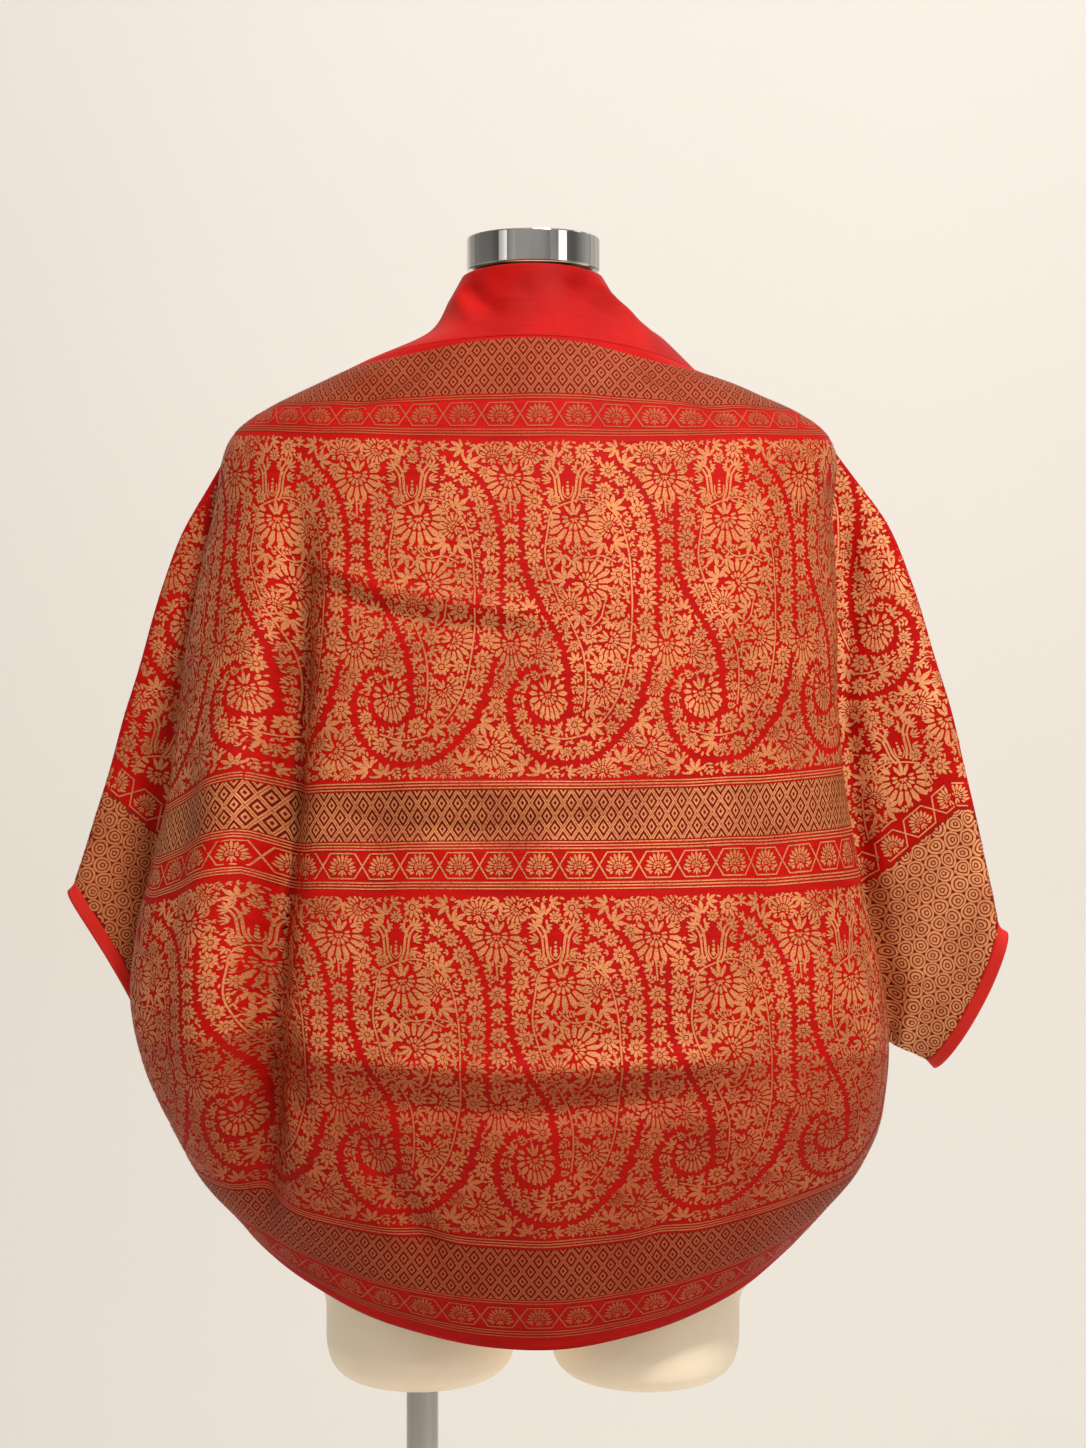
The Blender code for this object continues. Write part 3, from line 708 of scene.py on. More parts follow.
def field_unit():
    """Faces of one repeat of the field: a paisley of blossoms with its own outline of small flowers."""
    rng = random.Random(FIELD_SEED)
    xs = np.arange(-UNIT_WIDTH / 2, UNIT_WIDTH / 2, 1.0)
    ys = np.arange(0, UNIT_HEIGHT + 1, 1.0)
    grid_x, grid_y = np.meshgrid(xs, ys)
    room = np.minimum(grid_y - 0.5, UNIT_HEIGHT - 0.5 - grid_y)
    for line in (LEFT_CHANNEL, OUTER_CHANNEL):
        room = np.minimum(room, line_gap(grid_x, grid_y, smooth_line(line, 4.0)) - CHANNEL)
    ring = np.array(
        [
            (POCKET[0] + POCKET[2] * 1.05 * math.cos(a), POCKET[1] + POCKET[2] * 1.05 * math.sin(a))
            for a in np.linspace(0, 2 * math.pi, 25)
        ]
    )
    room = np.minimum(room, line_gap(grid_x, grid_y, ring) - CHANNEL)
    faces = []

    def free(x, y):
        column = int(round(x + UNIT_WIDTH / 2)) % room.shape[1]
        return room[int(np.clip(round(y), 0, room.shape[0] - 1)), column]

    def occupy(x, y, radius):
        for shift in (-UNIT_WIDTH, 0, UNIT_WIDTH):
            np.minimum(room, np.hypot(grid_x - x - shift, grid_y - y) - radius, out=room)

    def add(kind, x, y, radius, turn):
        faces.extend(kind(x, y, radius, turn))
        occupy(x, y, radius * 0.97)

    kinds = {"peony": peony, "bud": bud, "leaf": leaf}
    for name, x, y, radius, turn in BLOSSOMS:
        add(kinds[name], x, y, radius, turn)
    faces.extend(crown(*CROWN))
    for dx, dy, radius in CROWN_ROOM:
        occupy(CROWN[0] + dx, CROWN[1] + dy, radius)
    for line in STEMS:
        faces.extend(ribbon(line, 1.5, 6.0))
        np.minimum(room, line_gap(grid_x, grid_y, smooth_line(line, 6.0)) - 0.9, out=room)
    rows = []
    for line, side in ((LEFT_CHANNEL, 1), (OUTER_CHANNEL, -1)):
        path = smooth_line(line, BLOSSOM_SPACING)
        along = normalized(np.gradient(path, axis=0))
        for (x, y), (dx, dy) in zip(path, along):
            away = CHANNEL + BLOSSOM_FROM_CHANNEL
            rows.append((x + side * dy * away, y - side * dx * away, math.atan2(side * dx, -side * dy)))
    rows += [(x, y, math.pi / 2) for x, y in MIDDLE_COLUMN]
    for x, y, turn in rows:
        radius = min(9.2, free(x, y) + 1.4)
        if radius > 4.4:
            add(blossom, x, y, radius, turn + rng.uniform(-0.5, 0.5))
    while True:
        row, column = np.unravel_index(int(np.argmax(room)), room.shape)
        radius = room[row, column]
        if radius < SMALLEST_ROOM:
            break
        x, y, turn = xs[column], ys[row], rng.uniform(0, 2 * math.pi)
        if radius > 5.6:
            add(rng.choice((peony, blossom, leaf)), x, y, min(radius + 0.6, 9.5), turn)
        elif radius > 3.2:
            add(rng.choice((leaf, sprig, leaf)), x, y, radius + 0.5, turn)
        elif radius > 2.2:
            faces.extend(leaf(x, y, radius * 1.15, turn, 3))
            occupy(x, y, radius + 0.2)
        else:
            faces.append(petal(x - 2.0 * math.cos(turn), y - 2.0 * math.sin(turn), turn, 0.2, 4.2, 1.1))
            occupy(x, y, radius + 0.2)
    return faces


def moved(faces, scale_x, scale_y, x, y):
    return [face * (scale_x, scale_y) + (x, y) for face in faces]


def diamonds(u_start, u_end, v_top, v_bottom):
    """Staggered rows of diamonds one inside another."""
    faces = []
    wide, tall = DIAMOND_SIZE
    rows = int(math.ceil((v_bottom - v_top) / (tall / 2))) + 1
    for row in range(rows):
        v = v_top + row * tall / 2
        for i in range(int((u_end - u_start) / wide) + 2):
            u = u_start + (i + 0.5 * (row % 2)) * wide
            for outer, inner in DIAMOND_RINGS:
                corners = np.array(DIAMOND_CORNERS) * (wide / 2, tall / 2)
                for a, b in zip(corners, np.roll(corners, -1, axis=0)):
                    face = np.array([a * outer, b * outer, b * inner, a * inner]) + (u, v)
                    face = cut_to(face, v_top, v_bottom)
                    if len(face) > 2:
                        faces.append(face)
    return faces


def cut_to(face, v_top, v_bottom):
    """The part of a convex face between two levels."""
    for level, keep in ((v_top, 1), (v_bottom, -1)):
        result = []
        for a, b in zip(face, np.roll(face, -1, axis=0)):
            inside_a, inside_b = (a[1] - level) * keep >= 0, (b[1] - level) * keep >= 0
            if inside_a:
                result.append(a)
            if inside_a != inside_b:
                t = (level - a[1]) / (b[1] - a[1])
                result.append(a + (b - a) * t)
        face = np.array(result).reshape(-1, 2)
        if len(face) < 3:
            return face
    return face


def vine(u_start, u_end, v_top, v_bottom):
    """Two trellis lines that cross and part again, with a full bud in every room between them."""
    faces = []
    height = v_bottom - v_top
    middle = (v_top + v_bottom) / 2
    half = height / 2 - 1.5
    wave = [(0, 1), (9, 1), (21, -1), (40, -1), (52, 1), (VINE_PERIOD, 1)]
    for i in range(int((u_end - u_start) / VINE_PERIOD) + 1):
        u = u_start + i * VINE_PERIOD
        for flip in (1, -1):
            line = [(u + du, middle + flip * side * half) for du, side in wave]
            points = [line[0]]
            for a, b in zip(line, line[1:]):
                points += [((a[0] + b[0]) / 2, (a[1] + b[1]) / 2), b]
            faces += ribbon(points, 1.25, smooth=False)
        for du in (30.5, 61.5):
            faces += peony(u + du, middle, height * 0.36, -math.pi / 2)
            for side in (-1, 1):
                angle = -side * 0.6 + (side < 0) * math.pi
                faces.append(petal(u + du + side * 6.5, middle + 5.5, angle, 0.4, 5.2, 1.0))
    return faces


def cell_around(site, others, reach):
    """The cell nearest to a site, as one polygon with its corners cut."""
    cell = np.array([(-reach, -reach), (reach, -reach), (reach, reach), (-reach, reach)], float) + site
    for other in others:
        middle, away = (site + other) / 2, other - site
        result = []
        for a, b in zip(cell, np.roll(cell, -1, axis=0)):
            side_a, side_b = np.dot(a - middle, away), np.dot(b - middle, away)
            if side_a <= 0:
                result.append(a)
            if (side_a <= 0) != (side_b <= 0):
                result.append(a + (b - a) * side_a / (side_a - side_b))
        cell = np.array(result).reshape(-1, 2)
        if len(cell) < 3:
            return None
    after = np.roll(cell, -1, axis=0)
    return np.stack([cell * 0.75 + after * 0.25, cell * 0.25 + after * 0.75], axis=1).reshape(-1, 2)


def lattice(inside, low_x, high_x, low_y, high_y, seed):
    """Uneven cells of rings one inside another, over all flat points that inside() accepts."""
    rng = random.Random(seed)
    wide, tall = LATTICE_SIZE
    sites = {}
    for row in range(int((high_y - low_y) / tall) + 3):
        for column in range(int((high_x - low_x) / wide) + 3):
            x = low_x + (column - 1 + 0.5 * (row % 2)) * wide + rng.uniform(-2.2, 2.2)
            y = low_y + (row - 1) * tall + rng.uniform(-1.8, 1.8)
            sites[row, column] = np.array([x, y])
    faces = []
    for (row, column), site in sites.items():
        if not inside(site[0], site[1]):
            continue
        others = [
            sites[row + dr, column + dc]
            for dr in (-2, -1, 0, 1, 2)
            for dc in (-2, -1, 0, 1, 2)
            if (dr or dc) and (row + dr, column + dc) in sites
        ]
        cell = cell_around(site, others, wide * 1.5)
        if cell is None:
            continue
        for outer, inner in LATTICE_RINGS:
            big, small = (cell - site) * outer + site, (cell - site) * inner + site
            for i in range(len(cell)):
                j = (i + 1) % len(cell)
                faces.append(np.array([big[i], big[j], small[j], small[i]]))
    return faces


def figure_object(name, chart, faces, material, keep=None, lift=FIGURE_LIFT):
    """The figures as one mesh that lies on the cloth's outer face."""
    sizes = np.array([len(face) for face in faces])
    flat = np.concatenate(faces)
    points, normals, good = chart.place(flat, lift)
    if keep is not None:
        good &= keep(flat)
    starts = np.concatenate([[0], np.cumsum(sizes)[:-1]])
    whole = np.logical_and.reduceat(good, starts)
    kept_points = np.repeat(whole, sizes)
    kept_sizes = sizes[whole]
    kept_starts = np.concatenate([[0], np.cumsum(kept_sizes)[:-1]])
    points, normals, flat = points[kept_points], normals[kept_points], flat[kept_points]
    polygons = []
    for start, size in zip(kept_starts.tolist(), kept_sizes.tolist()):
        face = list(range(start, start + size))
        side = np.cross(points[start + 1] - points[start], points[start + 2] - points[start + 1])
        polygons.append(face if np.dot(side, normals[start]) > 0 else face[::-1])
    obj = finish_mesh(name, points, polygons, [material])
    set_flat_map(obj.data, flat)
    obj.data.normals_split_custom_set_from_vertices(normals.tolist())
    print(name, "triangles", int((kept_sizes - 2).sum()), "faces", len(polygons))
    return obj


# Materials


class Nodes:
    """A material's node tree, with short ways to add to it."""

    def __init__(self, name):
        self.material = bpy.data.materials.new(name)
        self.material.use_nodes = True
        self.tree = self.material.node_tree
        self.shader = self.tree.nodes["Principled BSDF"]

    def add(self, kind, inputs=(), **settings):
        node = self.tree.nodes.new(kind)
        for key, value in settings.items():
            setattr(node, key, value)
        for key, value in dict(inputs).items():
            self.feed(node.inputs[key], value)
        return node

    def feed(self, socket, value):
        if isinstance(value, bpy.types.NodeSocket):
            self.tree.links.new(value, socket)
        else:
            socket.default_value = value

    def set(self, **inputs):
        for key, value in inputs.items():
            self.feed(self.shader.inputs[key.replace("_", " ")], value)

    def math(self, operation, a, b=0.0):
        return self.add("ShaderNodeMath", {0: a, 1: b}, operation=operation).outputs[0]

    def mix(self, share, first, second):
        node = self.add("ShaderNodeMix", data_type="RGBA")
        for index, value in ((0, share), (6, first), (7, second)):
            self.feed(node.inputs[index], value)
        return node.outputs[2]

    def noise(self, vector, scale, detail=2.0):
        return self.add("ShaderNodeTexNoise", {"Vector": vector, "Scale": scale, "Detail": detail}).outputs[0]

    def ramp(self, value, stops):
        node = self.add("ShaderNodeValToRGB", {0: value})
        ramp = node.color_ramp
        while len(ramp.elements) < len(stops):
            ramp.elements.new(0.5)
        for element, (position, color) in zip(ramp.elements, stops):
            element.position = position
            element.color = (*color, 1.0)
        return node.outputs[0]

    def bump(self, height, strength, distance):
        inputs = {"Height": height, "Strength": strength, "Distance": distance}
        node = self.add("ShaderNodeBump", inputs)
        self.tree.links.new(node.outputs[0], self.shader.inputs["Normal"])

    def within(self, value, start, end, soft):
        """1 between two values, falling to 0 over a soft width past each."""
        sides = []
        for slope, level in ((1 / soft, 1 - start / soft), (-1 / soft, 1 + end / soft)):
            inputs = {0: value, 1: slope, 2: level}
            side = self.add("ShaderNodeMath", inputs, operation="MULTIPLY_ADD", use_clamp=True)
            sides.append(side.outputs[0])
        return self.math("MULTIPLY", *sides)

    def paint_shade_between(self, color, level, shade_levels, shade_color):
        """Painted shade: the colour, changed towards a shade colour between the given levels of the flat cloth.
        """
        for top, bottom, soft, share in shade_levels:
            inside = self.math("MULTIPLY", self.within(level, top, bottom, soft), share)
            color = self.mix(inside, color, (*shade_color, 1.0))
        return color

    def cloth_vector(self, x_scale, y_scale):
        """The flat cloth position in millimetres, stretched by the scales."""
        flat = self.add("ShaderNodeUVMap", uv_map="Cloth").outputs[0]
        scale = (x_scale / MM, y_scale / MM, 1.0)
        return self.add("ShaderNodeMapping", {"Vector": flat, "Scale": scale}).outputs[0]


def srgb(*channels):
    return tuple(((c / 255 + 0.055) / 1.055) ** 2.4 if c > 10 else c / 255 / 12.92 for c in channels)


def silk_material(name, dark, light, roughness, specular, rib=1.1, shade_levels=(), slubs=1.0):
    """Plain woven silk with fine crossed ribs and slubs, and painted shade between the given levels of the
    cloth.
    """
    nodes = Nodes(name)
    parts = nodes.add("ShaderNodeSeparateXYZ", {0: nodes.cloth_vector(1, 1)}).outputs
    rib_across = nodes.math("SINE", nodes.math("MULTIPLY", parts[0], 2 * math.pi / rib))
    rib_down = nodes.math("SINE", nodes.math("MULTIPLY", parts[1], 2 * math.pi / (rib * 0.8)))
    weave = nodes.math("MULTIPLY", nodes.math("ADD", rib_across, rib_down), 0.25)
    weave = nodes.math("ADD", weave, 0.5)
    slub = nodes.noise(nodes.cloth_vector(0.02, 0.25), 1.0, 3.0)
    cloud = nodes.noise(nodes.cloth_vector(0.012, 0.012), 1.0, 3.0)
    slub_share = 0.45 * slubs
    tone = nodes.math("MULTIPLY", slub, slub_share)
    tone = nodes.math("ADD", tone, nodes.math("MULTIPLY", cloud, 0.8 - slub_share))
    tone = nodes.math("ADD", tone, nodes.math("MULTIPLY", weave, 0.2))
    color = nodes.ramp(tone, ((0.28, dark), (0.72, light)))
    # Painted shade: the ground darkened between the given levels
    color = nodes.paint_shade_between(color, parts[1], shade_levels, GROUND_PAINTED_SHADE)
    nodes.set(Base_Color=color, Roughness=roughness, Specular_IOR_Level=specular)
    nodes.bump(nodes.math("ADD", weave, nodes.math("MULTIPLY", slub, 1.5 * slubs)), 0.35, 0.0003)
    return nodes.material


def zari_material(name, dark, light, red, shade_levels=()):
    """Gold-wrapped thread in rows, rubbed through to the red in places, its fine grain partly painted glints,
    with painted shade between the given levels.
    """
    nodes = Nodes(name)
    parts = nodes.add("ShaderNodeSeparateXYZ", {0: nodes.cloth_vector(1, 1)}).outputs
    thread = nodes.math("SINE", nodes.math("MULTIPLY", parts[1], 2 * math.pi / 0.9))
    thread = nodes.math("ADD", nodes.math("MULTIPLY", thread, 0.5), 0.5)
    # Fine grain of the thread: where it is high the gold is rubbed through to the red, and the light end of its
    # gold is painted glints
    wear_and_glints = nodes.noise(nodes.cloth_vector(0.5, 0.9), 1.0, 3.0)
    cloud = nodes.noise(nodes.cloth_vector(0.02, 0.02), 1.0, 2.0)
    tone = nodes.math("ADD", nodes.math("MULTIPLY", wear_and_glints, 0.7), nodes.math("MULTIPLY", cloud, 0.3))
    gold = nodes.ramp(tone, ((0.34, dark), (0.58, light)))
    bind = nodes.math("MULTIPLY", nodes.math("GREATER_THAN", wear_and_glints, 0.58), 0.35)
    color = nodes.mix(bind, gold, (*red, 1.0))
    # Painted shade: the gold dulled between the given levels
    color = nodes.paint_shade_between(color, parts[1], shade_levels, ZARI_PAINTED_SHADE)
    nodes.set(Base_Color=color, Metallic=0.18, Roughness=0.48, Specular_IOR_Level=0.2)
    nodes.bump(nodes.math("ADD", thread, wear_and_glints), 0.4, 0.0004)
    return nodes.material


def object_vector(nodes, scale):
    coordinates = nodes.add("ShaderNodeTexCoord").outputs["Object"]
    return nodes.add("ShaderNodeMapping", {"Vector": coordinates, "Scale": scale}).outputs[0]


def shell_material():
    nodes = Nodes("form_shell_satin")
    cloud = nodes.noise(object_vector(nodes, (9, 9, 9)), 1.0, 4.0)
    grain = nodes.noise(object_vector(nodes, (420, 420, 420)), 1.0, 2.0)
    color = nodes.ramp(cloud, ((0.3, srgb(246, 222, 190)), (0.7, srgb(252, 236, 210))))
    nodes.set(Base_Color=color, Roughness=0.48, Coat_Weight=0.12, Coat_Roughness=0.35)
    nodes.bump(grain, 0.12, 0.0004)
    return nodes.material


def steel_material(name, roughness, dark, light, reflection_streaks):
    """Steel with painted reflections: soft upright light and dark stripes in its colour, as a turned and
    polished drum shows.
    """
    nodes = Nodes(name)
    coordinates = nodes.add("ShaderNodeTexCoord").outputs["Object"]
    parts = nodes.add("ShaderNodeSeparateXYZ", {0: coordinates}).outputs
    around = nodes.math("ARCTAN2", parts[1], parts[0])
    turn = nodes.math("MULTIPLY", around, reflection_streaks)
    height = nodes.math("MULTIPLY", parts[2], 2.0)
    vector = nodes.add("ShaderNodeCombineXYZ", {0: turn, 1: height}).outputs[0]
    painted_reflection = nodes.noise(vector, 1.0, 0.0)
    brush = nodes.noise(object_vector(nodes, (60, 60, 2400)), 1.0, 2.0)
    # Painted reflection: upright light and dark stripes in the steel's colour
    color = nodes.ramp(painted_reflection, ((0.26, dark), (0.62, light)))
    nodes.set(Base_Color=color, Metallic=1.0, Roughness=roughness, Anisotropic=0.3)
    nodes.bump(brush, 0.06, 0.0002)
    return nodes.material


def stage_material():
    """Pale paper, clear from behind so that the hidden sides can be seen past it."""
    nodes = Nodes("studio_paper")
    cloud = nodes.noise(object_vector(nodes, (0.8, 0.8, 0.8)), 1.0, 2.0)
    color = nodes.ramp(cloud, ((0.2, (0.86, 0.825, 0.77)), (0.8, (0.89, 0.855, 0.80))))
    seen_from_behind = nodes.add("ShaderNodeNewGeometry").outputs["Backfacing"]
    nodes.set(Base_Color=color, Roughness=0.95, Alpha=nodes.math("LESS_THAN", seen_from_behind, 0.5))
    return nodes.material


# Painted shade, as levels of the flat cloth with top, bottom, soft width and share: the ground between the
# raised diamonds is darkened as if in their shadow, the gold of the yoke is dulled where the shoulders turn
# away from the light, and ground and gold below the turn are darkened where the cloth faces down
GROUND_PAINTED_SHADE = srgb(114, 15, 6)
ZARI_PAINTED_SHADE = srgb(158, 44, 9)
GROUND_SHADE_LEVELS = tuple((top, bottom, 0.5, 1.0) for top, bottom in DIAMOND_BANDS) + ((598, 900, 9, 0.22),)
ZARI_SHADE_LEVELS = ((-20, 92, 9, 0.66), (598, 735, 9, 0.50), (740, 900, 2, 0.72))
GROUND = silk_material("brocade_ground", srgb(150, 8, 4), srgb(206, 14, 8), 0.6, 0.08, shade_levels=GROUND_SHADE_LEVELS)
SLEEVE_GROUND = silk_material("brocade_ground_of_sleeves", srgb(150, 8, 4), srgb(206, 14, 8), 0.6, 0.08)
LATTICE_GROUND = silk_material(
    "brocade_ground_under_lattice", srgb(118, 24, 12), srgb(146, 36, 20), 0.6, 0.08
)
BACK_OF_CLOTH = silk_material("brocade_reverse", srgb(110, 20, 14), srgb(168, 48, 30), 0.6, 0.2, 1.4)
ZARI_DARK = srgb(142, 64, 30)
ZARI_LIGHT = srgb(230, 148, 92)
ZARI_RED = srgb(166, 40, 20)
ZARI = zari_material("zari_thread", ZARI_DARK, ZARI_LIGHT, ZARI_RED, ZARI_SHADE_LEVELS)
# Painted light: the gold of the left sleeve is a darker copy of the thread's colours for painted shade, and
# that of the right sleeve a lighter copy for painted light
SLEEVE_ZARI_LIT_AND_SHADED = {
    "left": zari_material("zari_thread_of_left_sleeve_in_painted_shade", srgb(134, 60, 28), srgb(218, 138, 84), ZARI_RED),
    "right": zari_material("zari_thread_of_right_sleeve_in_painted_light", srgb(170, 88, 48), srgb(250, 174, 116), ZARI_RED),
}
COLLAR_SILK = silk_material("collar_silk_plain", srgb(130, 3, 2), srgb(212, 18, 12), 0.55, 0.10, slubs=0.3)
CUFF_SILK = silk_material("cuff_silk_plain", srgb(196, 26, 18), srgb(232, 46, 34), 0.5, 0.25, slubs=0.3)


def pattern_drop(across, down):
    """How far the pattern is off its level: slipped left of the deep fold, and lower beside the collar."""
    slip = np.interp(across, (-420, -335, -236, -200, -182), (0, -13, 13, 6, 0))
    slip = slip * np.clip((down - 120) / 200, 0, 1) * np.clip((800 - down) / 160, 0, 1)
    beside_collar = np.interp(across, (-210, -130, -50, 0, 45, 120, 210), (21, 13, 2, 0, 3, 19, 30))
    return slip - beside_collar * np.clip(1 - down / 95, 0, 1)


def build_body():
    grid, down, knots = cloth_rows(BODY_SECTIONS, (ARMHOLE_TOP, ARMHOLE_BOTTOM))
    across = across_distances(grid)
    down_grid = np.repeat(down[:, None], grid.shape[1], axis=1)
    offset = crease_offset(BODY_CREASES, across, down_grid)
    fade = np.clip(down_grid / SLACK_FADE, 0, 1) * np.clip(abs(across) / SLACK_FADE + 0.6, 0, 1)
    offset = offset + slack(across, down_grid) * fade
    grid = grid + grid_normals(grid) * offset[:, :, None]
    outward = grid_normals(grid)
    grid[0] = grid[0] + normalized(grid[1] - grid[0]) * SEAM_GAP
    top = int(np.argmin(abs(down - knots[ARMHOLE_TOP])))
    bottom = int(np.argmin(abs(down - knots[ARMHOLE_BOTTOM])))
    columns = grid.shape[1]
    flank = FRONT_COLUMNS * FINE_COLUMNS
    hole = ARMHOLE_COLUMNS * FINE_COLUMNS
    left = (flank - FINE_COLUMNS, flank - FINE_COLUMNS - hole)
    right = (columns - 1 - left[0], columns - 1 - left[1])
    missing = np.zeros((len(grid) - 1, columns - 1), bool)
    missing[top:bottom, left[1] : left[0]] = True
    missing[top:bottom, right[0] : right[1]] = True
    shown_down = down_grid + pattern_drop(across, down_grid)
    flat = np.stack([across, shown_down], axis=2)
    faces = grid_faces(len(grid), columns, missing)
    body = cloth_object("body_cloth", grid, flat, faces, [GROUND, BACK_OF_CLOTH], CLOTH_WALL)
    chart = Chart(grid, across, shown_down, missing)
    return body, chart, grid, outward, top, bottom, left, right


def build_body_figures(chart):
    left_edge, right_edge = chart.across[:, 0], chart.across[:, -1]
    down = chart.down[:, 0]

    def keep(flat):
        return (flat[:, 0] > np.interp(flat[:, 1], down, left_edge) + EDGE_MARGIN) & (
            flat[:, 0] < np.interp(flat[:, 1], down, right_edge) - EDGE_MARGIN
        )

    unit = field_unit()
    print("unit triangles", sum(len(face) - 2 for face in unit), "faces", len(unit))
    low, high = left_edge.min(), right_edge.max()
    pitch = UNIT_WIDTH * UNIT_SCALE
    made = []
    for number, (top, bottom, middle) in enumerate(FIELDS):
        faces = []
        for i in range(int((low - middle) / pitch) - 1, int((high - middle) / pitch) + 2):
            faces += moved(unit, UNIT_SCALE, (bottom - top) / UNIT_HEIGHT, middle + i * pitch, top)
        made.append(figure_object(f"body_field_{number + 1}", chart, faces, ZARI, keep))
    faces = []
    for v in STRIPE_LINES:
        us = np.arange(low, high, 5.0)
        faces += ribbon(np.stack([us, np.full(len(us), float(v))], axis=1), STRIPE_WIDTH, smooth=False)
    for top, bottom in DIAMOND_BANDS:
        faces += diamonds(low, high, top, bottom)
    for top, bottom in VINE_BANDS:
        faces += vine(low, high, top, bottom)
    made.append(figure_object("body_bands", chart, faces, ZARI, keep))
    return made, unit


def fall_beside_body(strip, grid):
    """The trough in the sleeve along the body's edge."""
    edge_column = grid[:, :, 0].argmax(axis=1)
    edge = grid[np.arange(len(grid)), edge_column]
    order = np.argsort(edge[:, 2])
    beyond = strip[:, :, 0] - np.interp(strip[:, :, 2], edge[order, 2], edge[order, 0]) - FALL_BEYOND_EDGE
    height = strip[:, :, 2]
    window = np.clip((FALL_TOP_Z - height) / FALL_FADE, 0, 1)
    window = window * np.clip((height - FALL_LOW_Z) / FALL_FADE, 0, 1)
    return -FALL_DEPTH * window * np.exp(-((beyond / FALL_HALF_WIDTH) ** 2))


def build_sleeve(name, side, rings, hole, grid, outward, top, bottom, unit):
    counts = (bottom - top, abs(hole[1] - hole[0]), bottom - top, abs(hole[1] - hole[0]))
    loop = hole_loop(grid, top, bottom, hole)
    rows = sleeve_rows(loop, hole_loop(outward, top, bottom, hole), rings, side, counts)
    strip, outer_column = opened(rows, counts)
    outer, under = strip[:, outer_column], strip[:, 0]
    axis = outer[-1] - outer[0]
    axis /= np.linalg.norm(axis)
    beside = (under - outer).mean(axis=0)
    beside -= axis * np.dot(beside, axis)
    beside /= np.linalg.norm(beside)
    steps = np.linalg.norm(np.diff(strip, axis=1), axis=2)
    distance = running_sum(steps)
    distance -= distance[:, outer_column : outer_column + 1]
    start = np.stack([(outer - outer[0]) @ beside, (outer - outer[0]) @ axis], axis=1)
    seen = np.stack([(strip - outer[0]) @ beside, (strip - outer[0]) @ axis], axis=2)
    hidden = steps - np.linalg.norm(np.diff(seen, axis=1), axis=2)
    near = abs(distance[:, 1:] + distance[:, :-1]) / 2 < ROUNDED_EDGE
    extra = running_sum(hidden * near)
    extra -= extra[:, outer_column : outer_column + 1]
    behind = distance >= 0
    across = np.where(behind, seen[:, :, 0], 2 * start[:, :1] - seen[:, :, 0]) + extra
    down = seen[:, :, 1]
    normals = grid_normals(strip)
    centre = strip.mean(axis=1, keepdims=True)
    flip = -1.0 if np.mean(np.sum((strip - centre) * normals, axis=2)) < 0 else 1.0
    count = np.arange(len(strip))[:, None]
    offset = crease_offset(SLEEVE_CREASES, across, down) + slack(across, down)
    offset = offset * np.clip(count / SLEEVE_FADE_ROWS, 0, 1)
    if side > 0:
        fall_fade = np.clip((count - 1) / FALL_FADE_ROWS, 0, 1)
        offset = offset + fall_beside_body(strip, grid) * behind * fall_fade
    columns = strip.shape[1]
    from_seam = np.minimum(np.arange(columns), np.arange(columns)[::-1])
    edge = np.clip(from_seam / SEAM_FADE_COLUMNS, 0, 1)
    strip = strip + normals * flip * (offset * edge[None, :])[:, :, None]
    faces = grid_faces(len(strip), columns)
    if flip < 0:
        faces = [face[::-1] for face in faces]
    flat = np.stack([across, down], axis=2)
    materials = [SLEEVE_GROUND, BACK_OF_CLOTH]
    sleeve = cloth_object("sleeve_cloth_" + name, strip, flat, faces, materials, CLOTH_WALL)
    close_seam(sleeve)
    chart = Chart(strip, across, down)
    chart.normals = grid_normals(strip) * flip

    cuff_start = start[-1]
    border_start = cuff_start[1] - BORDER_ABOVE_CUFF[name]

    def from_border(u, v):
        return abs(u) * BORDER_RUN[1] - (v - border_start) * BORDER_RUN[0]

    low_x, high_x, low_y, high_y = across.min(), across.max(), down.min(), down.max()
    figures = lattice(lambda x, y: from_border(x, y) < 12, low_x, high_x, low_y, high_y, LATTICE_SEED + side)
    figures = [face for face in figures if from_border(*face.T).max() < 0]
    along = np.array(BORDER_RUN)
    square = np.array([BORDER_RUN[1], -BORDER_RUN[0]])
    band = vine(-4 * VINE_PERIOD, 5 * VINE_PERIOD, 0, SLEEVE_VINE)
    for face in band:
        spot = (0, border_start) + face[:, :1] * along + (SLEEVE_VINE + 1.0 - face[:, 1:]) * square
        if (spot[:, 0] > 0).all():
            figures += [spot, spot * (-1, 1)]
    pitch = UNIT_WIDTH * UNIT_SCALE
    for i in range(-4, 5):
        for k in (-1, 0, 1):
            y = k * UNIT_HEIGHT * 0.90 - 40
            placed = moved(unit, UNIT_SCALE, UNIT_SCALE * 0.98, (i + 0.35) * pitch, y)
            figures += [face for face in placed if from_border(*face.T).min() > SLEEVE_VINE + 2.5]
    sleeve.data.materials.append(LATTICE_GROUND)
    gaps = from_border(across, down).ravel()
    in_band = [max(gaps[i] for i in face) < 4.0 for face in faces]
    sleeve.data.polygons.foreach_set("material_index", np.where(in_band, 2, 0).astype(np.int32))
    zari = figure_object("sleeve_figures_" + name, chart, figures, SLEEVE_ZARI_LIT_AND_SHADED[name])
    return sleeve, zari, strip[:, :-1]


